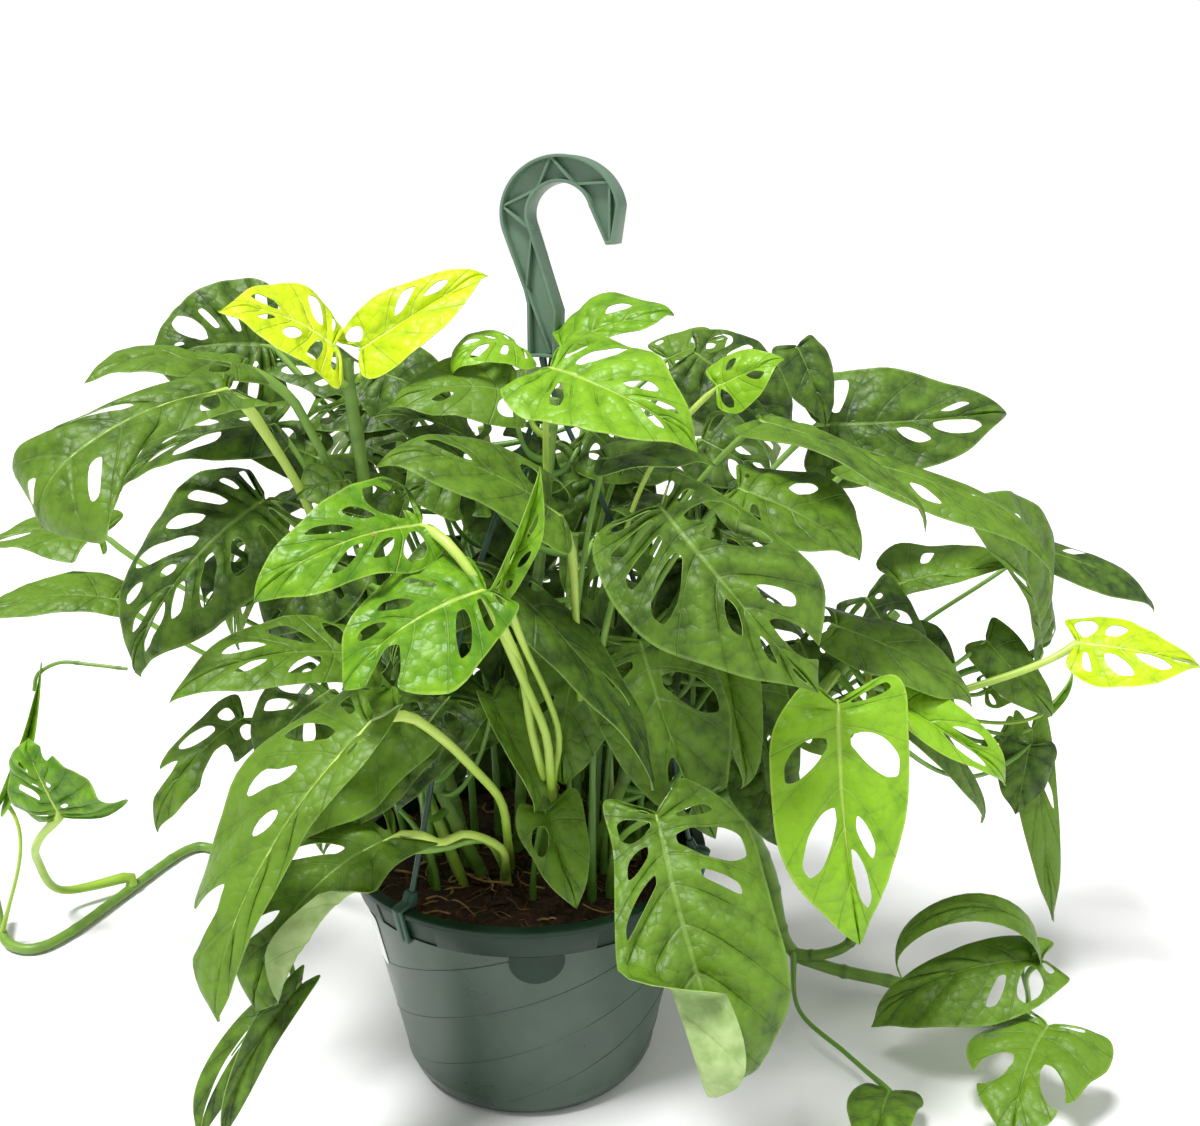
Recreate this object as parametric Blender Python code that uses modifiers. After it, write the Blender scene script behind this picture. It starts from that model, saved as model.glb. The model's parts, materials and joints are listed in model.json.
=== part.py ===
# Monstera adansonii in its hanging nursery pot: pot, label, soil, plastic hanger, stems, leaves.
# Metres, +Z up. The origin is the centre of the pot's foot, and the photographed front faces -Y.

import math

import bmesh
import bpy
import numpy as np
from mathutils import Matrix, Vector

MM = 0.001

# Driving dimensions, in millimetres.
POT_HEIGHT = 165
RIM_RADIUS = 127
RIM_INNER_RADIUS = 119
BAND_HEIGHT = 21
BAND_LOWER_RADIUS = 124.5
WALL_TOP_RADIUS = 111
FOOT_RADIUS = 82
WALL = 2.0
FLOOR = 3.0
POT_STEPS = 40
DRAIN_RADIUS = 5
DRAIN_CIRCLE = 55
DRAIN_COUNT = 8

SOIL_TOP = 152
GAP = 0.3

LABEL_WIDTH = 34
LABEL_HEIGHT = 32
LABEL_ANGLE = 196
LABEL_TOP = 141
LABEL_THICKNESS = 0.4

HOOK_CENTRE = (29, 600)
HOOK_OUTER = (42, 36)
HOOK_INNER = (22, 19)
HOOK_DEPTH = 14
HOOK_FLANGE = 2.2
HOOK_WEB = 2.4
HOOK_YAW = -25
HOOK_TURN_X = 16
SHANK_FOOT = (16, 510)
SHANK_WIDTH = 20

STRAND_RADIUS = 1.9
STRAND_SPREAD = 4.2
STRAND_ANGLES = {"front_left": -128, "right": -8, "back": 112}
CLIP_WIDTH = 8.5
CLIP_WALL = 2.4

BLADE = 1.0
PETIOLE_RADIUS = 1.9

# Each stem: its radius, then the points it grows through, in millimetres.
STEMS = {
    "stem_crown_left": (5.0, [(-42, -8, 152.3), (-62, -14, 250), (-92, -26, 370), (-108, -40, 512)]),
    "stem_crown_centre": (4.2, [(-8, 10, 152.3), (0, -2, 280), (14, -18, 400), (22, -26, 486)]),
    "stem_right": (5.2, [(66, 14, 152.3), (86, 12, 184), (128, 6, 206), (170, -8, 240), (214, -18, 300),
                         (232, -20, 312)]),
    "stem_back_right": (4.8, [(62, 52, 152.3), (92, 68, 192), (150, 84, 214), (226, 82, 226),
                              (290, 70, 238), (318, 66, 246)]),
    "stem_trail_right": (5.0, [(84, 30, 152.3), (106, 40, 180), (146, 56, 176), (182, 70, 110), (200, 74, 40),
                               (232, 68, 8), (296, 46, 6.5), (352, 18, 6.5), (372, -2, 8)]),
    "stem_trail_left": (5.0, [(-58, 66, 152.3), (-84, 84, 186), (-138, 120, 184), (-200, 170, 120),
                              (-262, 236, 40), (-320, 300, 8), (-352, 300, 5.6), (-384, 208, 5.6),
                              (-404, 148, 5.6), (-424, 122, 5.6), (-452, 132, 8), (-474, 166, 26)]),
}

# Each leaf: where the petiole meets the blade, the tip, the way the upper side faces, the width, and
# where the petiole starts: a place on the soil, or a stem, a share of its length and a direction.
# arch and fold are in degrees; droop and sway are shares of the blade's size; via are petiole points.
LEAVES = {
    "leaf_crown_left": dict(
        joint=(-112, -52, 521), tip=(-188, -80, 540), face=(-0.2, -0.6, 0.75), width=72,
        foot=("stem_crown_left", 0.96, (-0.4, -0.9, 0.1)), tone="new", arch=35),
    "leaf_crown_left_rear": dict(
        joint=(-98, -34, 518), tip=(-20, -5, 562), face=(-0.4, -0.75, 0.5), width=64,
        foot=("stem_crown_left", 0.96, (0.8, 0.5, 0.1)), tone="new", arch=20, fold=25),
    "leaf_rear_left_top": dict(
        joint=(-180, 60, 520), tip=(-264, 60, 500), face=(-0.1, -0.55, 0.8), width=68, foot=(-40, 16)),
    "leaf_left_high": dict(
        joint=(-170, -36, 510), tip=(-280, -84, 446), face=(-0.3, -0.35, 0.9), width=76, foot=(-66, 8),
        arch=60),
    "leaf_left_front_high": dict(
        joint=(-165, -92, 498), tip=(-258, -152, 420), face=(-0.35, -0.75, 0.6), width=78, foot=(-46, -36),
        arch=70),
    "leaf_left_edge": dict(
        joint=(-280, 0, 345), tip=(-376, -16, 330), face=(-0.1, -0.4, 0.9), width=62, foot=(-88, 2)),
    "leaf_left_big": dict(
        joint=(-172, -30, 412), tip=(-250, -74, 305), face=(-0.55, -0.6, 0.55), width=105, foot=(-72, -8)),
    "leaf_front_left_bright": dict(
        joint=(-50, -125, 425), tip=(-144, -178, 392), face=(-0.15, -0.75, 0.65), width=82, foot=(4, -34),
        arrive=(-0.7, -0.3, 0.65), tone="young"),
    "leaf_front_centre_bright": dict(
        joint=(-15, -155, 392), tip=(-94, -195, 340), face=(-0.3, -0.75, 0.6), width=86, foot=(14, -42),
        arrive=(-0.3, -0.7, 0.65), tone="young"),
    "leaf_new_centre": dict(
        joint=(2, -150, 402), tip=(22, -160, 456), face=(0.3, -0.9, 0.1), width=15, foot=(20, -56),
        arrive=(0, -0.5, 0.85), tone="young", fold=60, holes=0, arch=5),
    "leaf_front_left_long": dict(
        joint=(-75, -175, 325), tip=(-162, -228, 165), face=(-0.5, -0.75, 0.35), width=100, foot=(-12, -60),
        arrive=(-0.75, -0.6, 0.2), arch=35),
    "leaf_left_mid": dict(
        joint=(-100, -104, 360), tip=(-198, -150, 334), face=(-0.3, -0.6, 0.75), width=78, foot=(-64, -42)),
    "leaf_rim_left": dict(
        joint=(-80, -135, 232), tip=(-160, -192, 146), face=(-0.5, -0.7, 0.5), width=88, foot=(-24, -80),
        via=[(-30, -98, 206)], arch=50),
    "leaf_rim_left_low": dict(
        joint=(-134, -150, 136), tip=(-184, -190, 40), face=(-0.5, -0.8, 0.3), width=52, foot=(-66, -62),
        via=[(-80, -82, 186), (-104, -116, 186)]),
    "leaf_rim_centre": dict(
        joint=(10, -80, 216), tip=(42, -112, 172), face=(0.2, -0.7, 0.6), width=52, foot=(6, -60)),
    "leaf_front_right_big": dict(
        joint=(85, -135, 250), tip=(134, -196, 100), face=(0.15, -0.9, 0.4), width=105, foot=(58, -58),
        arch=45),
    "leaf_right_bright": dict(
        joint=(196, -112, 312), tip=(208, -152, 172), face=(0.1, -0.95, 0.3), width=88,
        foot=("stem_right", 0.9, (-0.2, -1, 0.3)), tone="young", arch=30),
    "leaf_front_big": dict(
        joint=(86, -132, 438), tip=(178, -174, 335), face=(0.1, -0.85, 0.55), width=108, foot=(46, -62),
        arch=35),
    "leaf_crown_right": dict(
        joint=(30, -36, 520), tip=(98, -42, 545), face=(-0.1, -0.5, 0.8), width=60,
        foot=("stem_crown_centre", 0.97, (0.9, -0.3, 0.2)), tone="young"),
    "leaf_crown_front": dict(
        joint=(22, -90, 512), tip=(108, -135, 460), face=(0.1, -0.6, 0.8), width=88,
        foot=("stem_crown_centre", 0.8, (0.1, -1, 0.2)), tone="young"),
    "leaf_rear_right_top": dict(
        joint=(115, 60, 522), tip=(198, 66, 474), face=(0.2, -0.3, 0.9), width=82, foot=(34, 20)),
    "leaf_right_far": dict(
        joint=(224, 44, 452), tip=(350, 62, 446), face=(0, -0.5, 0.85), width=74, foot=(64, 22)),
    "leaf_centre_edge": dict(
        joint=(54, -82, 456), tip=(122, -84, 452), face=(0, -0.15, 1), width=50, foot=(30, -40),
        arrive=(0.2, -0.5, 0.85)),
    "leaf_right_light_edge": dict(
        joint=(150, -60, 476), tip=(250, -84, 412), face=(0.3, -0.2, 0.95), width=55, foot=(48, -4)),
    "leaf_right_mid_high": dict(
        joint=(134, -92, 440), tip=(212, -104, 384), face=(0.25, -0.5, 0.8), width=66, foot=(54, -24)),
    "leaf_right_long": dict(
        joint=(220, -20, 444), tip=(344, -42, 368), face=(0.3, -0.4, 0.85), width=55, foot=(78, -2)),
    "leaf_right_arch": dict(
        joint=(378, 64, 292), tip=(302, 24, 412), face=(0.35, -0.75, 0.5), width=64,
        foot=("stem_back_right", 0.985, (0.6, 0.3, 0.8)), tone="young", arch=30),
    "leaf_right_yellow": dict(
        joint=(398, 44, 300), tip=(484, 34, 284), face=(0.1, -0.6, 0.8), width=62,
        foot=("stem_back_right", 0.93, (0.3, -0.8, 0.6)), tone="new"),
    "leaf_right_far_low": dict(
        joint=(385, 124, 352), tip=(488, 126, 298), face=(0.2, -0.4, 0.9), width=55,
        foot=("stem_back_right", 0.78, (0.1, 0.8, 0.6))),
    "leaf_right_folded": dict(
        joint=(236, -64, 298), tip=(314, -78, 242), face=(0.3, -0.6, 0.7), width=45,
        foot=("stem_right", 0.985, (0.8, -0.5, 0.1)), tone="young", fold=35),
    "leaf_right_dark_long": dict(
        joint=(250, 16, 284), tip=(326, 6, 176), face=(0.5, -0.5, 0.6), width=48,
        foot=("stem_right", 0.55, (0.2, 0.9, 0.4))),
    "leaf_right_hanging": dict(
        joint=(370, 78, 214), tip=(404, 72, 68), face=(0.2, -0.95, 0.2), width=45,
        foot=("stem_back_right", 0.96, (0.8, 0.5, -0.1)), arch=25),
    "leaf_trail_right_left": dict(
        joint=(366, -30, 80), tip=(252, -24, 28), face=(-0.2, -0.5, 0.85), width=80,
        foot=("stem_trail_right", 0.985, (0.8, -0.2, 0.6)), arch=60),
    "leaf_trail_right_end": dict(
        joint=(362, -62, 56), tip=(318, -134, 14), face=(-0.2, -0.4, 0.9), width=84,
        foot=("stem_trail_right", 0.93, (0.7, -0.7, 0.3)), arch=40),
    "leaf_trail_right_front": dict(
        joint=(248, -90, 24), tip=(228, -152, 12), face=(0, -0.1, 1), width=48,
        foot=("stem_trail_right", 0.56, (-0.3, -0.9, 0.2)), via=[(200, 2, 26), (226, -44, 22)]),
    "leaf_trail_left": dict(
        joint=(-376, 92, 140), tip=(-322, 62, 160), face=(-0.2, -0.8, 0.6), width=84,
        foot=("stem_trail_left", 0.7, (-0.1, -0.5, 0.8)), arch=70),
    "leaf_trail_left_new": dict(
        joint=(-424, 138, 150), tip=(-398, 140, 256), face=(0.3, -0.9, 0.1), width=12,
        foot=("stem_trail_left", 0.95, (0.3, -0.2, 0.9)), tone="young", fold=60, holes=0, arch=5),
    "leaf_centre_long": dict(
        joint=(40, -110, 364), tip=(104, -130, 256), face=(0.6, -0.3, 0.6), width=54, foot=(48, -84)),
    "leaf_centre_round": dict(
        joint=(39, -20, 316), tip=(40, -26, 250), face=(-0.1, -0.95, 0.3), width=52, foot=(30, -4)),
    "leaf_centre_right": dict(
        joint=(112, -66, 308), tip=(120, -100, 212), face=(0.1, -0.95, 0.3), width=72, foot=(62, -34)),
    "leaf_centre_flat": dict(
        joint=(24, -104, 424), tip=(-80, -112, 456), face=(0, -0.3, 0.95), width=74, foot=(32, -66),
        arrive=(-0.2, -0.4, 0.9)),
    "leaf_crown_under": dict(
        joint=(-4, -44, 492), tip=(-78, -58, 484), face=(0, -0.7, 0.7), width=58,
        foot=("stem_crown_centre", 0.88, (-0.9, -0.5, 0.2))),
    "leaf_back_left_high": dict(
        joint=(-104, 140, 462), tip=(-178, 214, 396), face=(-0.4, 0.4, 0.8), width=86, foot=(-24, 34)),
    "leaf_back_high": dict(
        joint=(12, 150, 486), tip=(18, 248, 430), face=(0, 0.5, 0.85), width=86, foot=(4, 44)),
    "leaf_back_right_high": dict(
        joint=(116, 146, 452), tip=(192, 216, 390), face=(0.4, 0.4, 0.8), width=86, foot=(34, 42)),
    "leaf_back_mid": dict(
        joint=(-30, 186, 346), tip=(-42, 262, 240), face=(-0.1, 0.75, 0.6), width=98, foot=(-12, 78)),
    "leaf_back_right_mid": dict(
        joint=(110, 180, 326), tip=(168, 244, 226), face=(0.5, 0.65, 0.5), width=90, foot=(44, 76)),
}

TONES = {"mature": (0.045, 0.16, 0.025), "young": (0.16, 0.38, 0.03), "new": (0.48, 0.68, 0.06)}

# The blade's margin and midrib at each lateral vein: shares of the half width and of the length.
MARGIN_SIDE = (0.12, 0.74, 0.99, 0.93, 0.62, 0.26, 0.0)
MARGIN_ALONG = (-0.05, -0.10, 0.14, 0.42, 0.68, 0.87, 1.0)
MIDRIB_ALONG = (0.0, 0.03, 0.15, 0.34, 0.57, 0.79, 1.0)
VEIN_BOW = 0.10
HOLE_INSET = 0.30


def clear_scene():
    for item in list(bpy.data.objects):
        bpy.data.objects.remove(item, do_unlink=True)


def new_collection(name):
    group = bpy.data.collections.new(name)
    bpy.context.scene.collection.children.link(group)
    return group


def new_material(name, colour, roughness, metallic=0.0):
    material = bpy.data.materials.new(name)
    material.use_nodes = True
    shader = material.node_tree.nodes["Principled BSDF"]
    shader.inputs["Base Color"].default_value = (*colour, 1)
    shader.inputs["Roughness"].default_value = roughness
    shader.inputs["Metallic"].default_value = metallic
    return material


def place(name, mesh, group, material):
    item = bpy.data.objects.new(name, mesh)
    group.objects.link(item)
    if material is not None:
        item.data.materials.clear()
        item.data.materials.append(material)
    return item


def solid_from(item, name, group, material):
    """Freezes an object's evaluated shape into a new mesh object and removes the first one."""
    bpy.context.view_layer.update()
    evaluated = item.evaluated_get(bpy.context.evaluated_depsgraph_get())
    mesh = bpy.data.meshes.new_from_object(evaluated)
    mesh.transform(item.matrix_world)
    data = bmesh.new()
    data.from_mesh(mesh)
    bmesh.ops.remove_doubles(data, verts=data.verts, dist=0.00002)
    bmesh.ops.recalc_face_normals(data, faces=data.faces)
    data.to_mesh(mesh)
    data.free()
    mesh.name = name
    bpy.data.objects.remove(item, do_unlink=True)
    return place(name, mesh, group, material)


def combine(item, cutter, cutters, operation):
    for old in list(cutter.users_collection):
        old.objects.unlink(cutter)
    cutters.objects.link(cutter)
    cutter.hide_render = True
    cutter.display_type = "WIRE"
    step = item.modifiers.new(operation.lower() + "_" + cutter.name, "BOOLEAN")
    step.operation = operation
    step.object = cutter
    step.solver = "EXACT"


def smooth_route(points, count):
    """Points of a smooth curve through the route's own points, evenly placed along it."""
    knots = np.array(points, float)
    ends = np.vstack([2 * knots[0] - knots[1], knots, 2 * knots[-1] - knots[-2]])
    fine = []
    for index in range(len(knots) - 1):
        a, b, c, d = ends[index:index + 4]
        for step in np.linspace(0, 1, 24, endpoint=False):
            fine.append(0.5 * (2 * b + (c - a) * step + (2 * a - 5 * b + 4 * c - d) * step ** 2
                               + (3 * b - a - 3 * c + d) * step ** 3))
    fine.append(knots[-1])
    fine = np.array(fine)
    travel = np.concatenate([[0], np.cumsum(np.linalg.norm(np.diff(fine, axis=0), axis=1))])
    marks = np.linspace(0, travel[-1], count)
    return np.stack([np.interp(marks, travel, fine[:, axis]) for axis in range(3)], axis=1)


def tube(name, points, radii, sides_level, group, material):
    """A closed round tube through points given in millimetres."""
    curve = bpy.data.curves.new(name, "CURVE")
    curve.dimensions = "3D"
    curve.bevel_depth = MM
    curve.bevel_resolution = sides_level
    curve.use_fill_caps = True
    curve.resolution_u = 1
    line = curve.splines.new("POLY")
    line.points.add(len(points) - 1)
    for point, place_mm, radius in zip(line.points, points, radii):
        point.co = (*(MM * value for value in place_mm), 1)
        point.radius = radius
    item = bpy.data.objects.new(name, curve)
    group.objects.link(item)
    return solid_from(item, name, group, material)


def turned(name, profile, steps, group, material):
    """A turned solid from a profile in millimetres whose two ends lie on the axis."""
    mesh = bpy.data.meshes.new(name)
    points = [(MM * radius, 0, MM * height) for radius, height in profile]
    mesh.from_pydata(points, [(index, index + 1) for index in range(len(points) - 1)], [])
    item = place(name, mesh, group, material)
    screw = item.modifiers.new("turn", "SCREW")
    screw.axis = "Z"
    screw.angle = 2 * math.pi
    screw.steps = steps
    screw.render_steps = steps
    screw.use_merge_vertices = True
    screw.merge_threshold = 0.00005
    return item


def flat_plate(name, outlines, thickness, group, material):
    """A plate in the XY plane from closed outlines in millimetres; inner outlines are holes."""
    curve = bpy.data.curves.new(name, "CURVE")
    curve.dimensions = "2D"
    curve.fill_mode = "BOTH"
    curve.extrude = 0.5 * MM * thickness
    for outline in outlines:
        line = curve.splines.new("POLY")
        line.points.add(len(outline) - 1)
        for point, (x, y) in zip(line.points, outline):
            point.co = (MM * x, MM * y, 0, 1)
        line.use_cyclic_u = True
    item = bpy.data.objects.new(name, curve)
    group.objects.link(item)
    return item


def wall_radius(height):
    """The outer radius of the pot's wall at a height."""
    share = height / (POT_HEIGHT - BAND_HEIGHT)
    return FOOT_RADIUS + (WALL_TOP_RADIUS - FOOT_RADIUS) * share


def build_pot(group, cutters, material):
    band_foot = POT_HEIGHT - BAND_HEIGHT
    profile = [
        (0, FLOOR), (FOOT_RADIUS - WALL - 1, FLOOR),
        (WALL_TOP_RADIUS - WALL, band_foot), (RIM_INNER_RADIUS - 2, band_foot + 4),
        (RIM_INNER_RADIUS, band_foot + 7), (RIM_INNER_RADIUS, POT_HEIGHT - 0.8),
        (RIM_INNER_RADIUS + 0.8, POT_HEIGHT), (RIM_RADIUS - 1, POT_HEIGHT),
        (RIM_RADIUS, POT_HEIGHT - 1.2), (BAND_LOWER_RADIUS, band_foot),
        (wall_radius(band_foot), band_foot), (wall_radius(8), 8), (FOOT_RADIUS - 1.5, 2.2),
        (FOOT_RADIUS - 4.5, 0), (0, 0)]
    pot = turned("pot", profile, POT_STEPS, group, material)
    for index in range(DRAIN_COUNT):
        angle = 2 * math.pi * (index + 0.5) / DRAIN_COUNT
        bpy.ops.mesh.primitive_cylinder_add(
            vertices=10, radius=MM * DRAIN_RADIUS, depth=MM * 4 * FLOOR,
            location=(MM * DRAIN_CIRCLE * math.cos(angle), MM * DRAIN_CIRCLE * math.sin(angle), 0))
        drain = bpy.context.object
        drain.name = f"drain_{index}"
        combine(pot, drain, cutters, "DIFFERENCE")
    return pot


def build_label(group, material):
    data = bmesh.new()
    bmesh.ops.create_grid(data, x_segments=6, y_segments=1, size=0.5)
    for vert in data.verts:
        height = LABEL_TOP - LABEL_HEIGHT * (0.5 - vert.co.y)
        radius = wall_radius(height) + GAP
        angle = math.radians(LABEL_ANGLE) + vert.co.x * LABEL_WIDTH / WALL_TOP_RADIUS
        vert.co = MM * Vector((radius * math.cos(angle), radius * math.sin(angle), height))
    mesh = bpy.data.meshes.new("label")
    data.to_mesh(mesh)
    data.free()
    label = place("label", mesh, group, material)
    wall = label.modifiers.new("thickness", "SOLIDIFY")
    wall.thickness = MM * LABEL_THICKNESS
    wall.offset = 1
    return label


def build_soil(group, material):
    band_foot = POT_HEIGHT - BAND_HEIGHT
    inside = WALL + 2 * GAP
    profile = [
        (0, SOIL_TOP), (RIM_INNER_RADIUS - 8, SOIL_TOP), (RIM_INNER_RADIUS - 2 * GAP, SOIL_TOP - 1),
        (RIM_INNER_RADIUS - 2 * GAP, band_foot + 7), (RIM_INNER_RADIUS - 2 - 2 * GAP, band_foot + 4.4),
        (wall_radius(band_foot) - inside, band_foot + 0.4),
        (FOOT_RADIUS - inside - 1, FLOOR + GAP), (0, FLOOR + GAP)]
    return turned("soil", profile, POT_STEPS, group, material)


def arc(centre, radii, start, end, count):
    turns = np.radians(np.linspace(start, end, count))
    return [(centre[0] + radii[0] * math.cos(turn), centre[1] + radii[1] * math.sin(turn))
            for turn in turns]


def hook_outline(inset):
    """The hook's outline in its own plane, drawn in by inset, as (along, up) in millimetres."""
    outer = tuple(value - inset for value in HOOK_OUTER)
    inner = tuple(value + inset for value in HOOK_INNER)
    foot_x, foot_z = SHANK_FOOT
    half = SHANK_WIDTH / 2 - inset
    points = arc(HOOK_CENTRE, outer, 8, 196, 15)
    points += [(foot_x - half - 2, foot_z + 42), (foot_x - half, foot_z + inset)]
    points += [(foot_x + half, foot_z + inset), (foot_x + half + 1, foot_z + 30)]
    points += arc(HOOK_CENTRE, inner, 202, 14, 12)
    points += [(HOOK_CENTRE[0] + 33, HOOK_CENTRE[1] - 19 + inset),
               (HOOK_CENTRE[0] + 38 - inset, HOOK_CENTRE[1] - 18 + inset)]
    return points


def build_hook(group, cutters, material):
    upright = Matrix.Rotation(math.pi / 2, 4, "X")
    yaw = Matrix.Rotation(math.radians(HOOK_YAW), 4, "Z")
    shift = Matrix.Translation((MM * HOOK_TURN_X, 0, 0))
    back = Matrix.Translation((-MM * HOOK_TURN_X, 0, 0))
    stand = shift @ yaw @ back @ upright
    flange = flat_plate("hook_flange", [hook_outline(0), hook_outline(HOOK_FLANGE)], HOOK_DEPTH, group, None)
    web = flat_plate("hook_web", [hook_outline(HOOK_FLANGE / 2)], HOOK_WEB, group, None)
    centre_x, centre_z = HOOK_CENTRE
    zigzag = []
    turns = (34, 66, 104, 140, 178, 216)
    for index, turn in enumerate(turns):
        radii = HOOK_OUTER if index % 2 == 0 else HOOK_INNER
        grow = -1.0 if index % 2 == 0 else 1.0
        zigzag.append((centre_x + (radii[0] + grow) * math.cos(math.radians(turn)),
                       centre_z + (radii[1] + grow) * math.sin(math.radians(turn))))
    ribs = []
    for start, end in zip(zigzag[:-1], zigzag[1:]):
        along = Vector((end[0] - start[0], end[1] - start[1]))
        side = Vector((-along.y, along.x)).normalized() * 0.8
        corners = [Vector(start) + side, Vector(start) - side, Vector(end) - side, Vector(end) + side]
        ribs.append(flat_plate(f"hook_rib_{len(ribs)}", [[tuple(c) for c in corners]], HOOK_DEPTH - 3,
                               group, None))
    flange.matrix_world = stand
    hook = solid_from(flange, "hanger_hook", group, material)
    for piece in [web] + ribs:
        piece.matrix_world = stand
        solid = solid_from(piece, piece.name, cutters, None)
        combine(hook, solid, cutters, "UNION")
    return hook


def build_strand(name, angle, group, cutters, material):
    """One strand from the hook's foot to its clip over the rim."""
    turn = math.radians(angle)
    out = np.array([math.cos(turn), math.sin(turn), 0])
    top = np.array([SHANK_FOOT[0], 0, SHANK_FOOT[1] - GAP]) + STRAND_SPREAD * out
    clip_radius = RIM_INNER_RADIUS - 3.6
    foot = clip_radius * out + np.array([0, 0, POT_HEIGHT + 7])
    middle = 0.5 * (top + foot) + 9 * out + np.array([0, 0, 14])
    near_top = top + np.array([0, 0, -30]) + 3 * out
    strand = tube(name, smooth_route([top, near_top, middle, foot], 16), [STRAND_RADIUS] * 16, 1,
                  group, material)
    wall = CLIP_WALL
    rim_top = POT_HEIGHT + GAP
    band_foot = POT_HEIGHT - BAND_HEIGHT
    outer = RIM_RADIUS + GAP
    lower = BAND_LOWER_RADIUS + GAP
    profile = [
        (clip_radius - 1.4, rim_top + 0.4), (clip_radius - 1.4, rim_top + 8),
        (clip_radius + 1.6, rim_top + 8), (clip_radius + 5, rim_top + wall),
        (outer + wall, rim_top + wall), (lower + wall, band_foot - 0.6 - wall),
        (lower - 4, band_foot - 0.6 - wall), (lower - 4, band_foot - 0.6),
        (lower, band_foot - 0.6), (outer, rim_top - 0.8), (outer, rim_top),
        (clip_radius + 3, rim_top)]
    clip = flat_plate(name + "_clip", [profile], CLIP_WIDTH, group, None)
    upright = Matrix.Rotation(math.pi / 2, 4, "X")
    clip.matrix_world = Matrix.Rotation(turn, 4, "Z") @ upright
    solid = solid_from(clip, name + "_clip", cutters, None)
    combine(strand, solid, cutters, "UNION")
    return strand


def unit(vector):
    vector = np.array(vector, float)
    return vector / np.linalg.norm(vector)


def stem_route(name):
    """A stem's radius and points; its first stretch stands upright on the soil."""
    radius, points = STEMS[name]
    route = smooth_route(points, 10 if len(points) < 8 else 20)
    route[1, :2] = route[0, :2]
    return radius, route


def straight_start(route, start_way):
    """Turns the first stretch of a route to leave its foot squarely."""
    route[1] = route[0] + start_way * min(np.linalg.norm(route[1] - route[0]), 12)
    return route


def petiole_route(leaf):
    """The petiole's points: from its foot, up and out, to the blade's junction."""
    joint = np.array(leaf["joint"], float)
    foot = leaf["foot"]
    if isinstance(foot[0], str):
        radius, route = stem_route(foot[0])
        index = foot[1] * (len(route) - 1)
        on_axis = np.array([np.interp(index, range(len(route)), route[:, axis]) for axis in range(3)])
        near = int(min(index, len(route) - 2))
        along = unit(route[near + 1] - route[near])
        start_way = np.array(foot[2], float)
        start_way = unit(start_way - along * start_way.dot(along))
        start = on_axis + start_way * (radius + GAP + 0.1)
    else:
        start = np.array([foot[0], foot[1], SOIL_TOP + GAP], float)
        start_way = np.array([0.0, 0.0, 1.0])
    outward = unit([joint[0] - 0.3 * start[0], joint[1] - 0.3 * start[1], 0])
    arrive = unit(leaf.get("arrive", 0.75 * outward + np.array([0, 0, 0.65])))
    reach = np.linalg.norm(joint - start)
    if "via" in leaf:
        return straight_start(smooth_route([start, start + 8 * start_way, *leaf["via"], joint], 9), start_way)
    lift = start + start_way * 0.42 * reach
    lead = joint - arrive * 0.34 * reach
    steps = np.linspace(0, 1, 40)[:, None]
    fine = ((1 - steps) ** 3 * start + 3 * (1 - steps) ** 2 * steps * lift
            + 3 * (1 - steps) * steps ** 2 * lead + steps ** 3 * joint)
    return straight_start(smooth_route(fine, 7 if reach > 150 else 5), start_way)


def blade_frame(leaf):
    joint = np.array(leaf["joint"], float)
    chord = np.array(leaf["tip"], float) - joint
    along = unit(chord)
    face = np.array(leaf["face"], float)
    face = unit(face - along * face.dot(along))
    side = np.cross(along, face)
    return joint, along, face, side, np.linalg.norm(chord)


def blade_point(leaf, across, along):
    """A point of the blade from its flat place, both in millimetres."""
    joint, ahead, face, side, chord = blade_frame(leaf)
    half_arch = math.radians(leaf.get("arch", 40)) / 2
    length = chord * half_arch / math.sin(half_arch)
    bend = length / (2 * half_arch)
    turn = (along / length - 0.5) * 2 * half_arch
    share = along / length
    half = leaf["width"] / 2
    across_shift = across + leaf.get("sway", 0.04) * length * 4 * share * (1 - share)
    spread = abs(across) / half
    height = math.sin(math.radians(leaf.get("fold", 6))) * abs(across)
    height -= leaf.get("droop", 0.22) * half * spread ** 2
    along_chord = chord / 2 + (bend + height) * math.sin(turn)
    lift = (bend + height) * math.cos(turn) - bend * math.cos(half_arch)
    return joint + ahead * along_chord + side * across_shift + face * lift


def blade_length(leaf):
    half_arch = math.radians(leaf.get("arch", 40)) / 2
    return blade_frame(leaf)[4] * half_arch / math.sin(half_arch)


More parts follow.
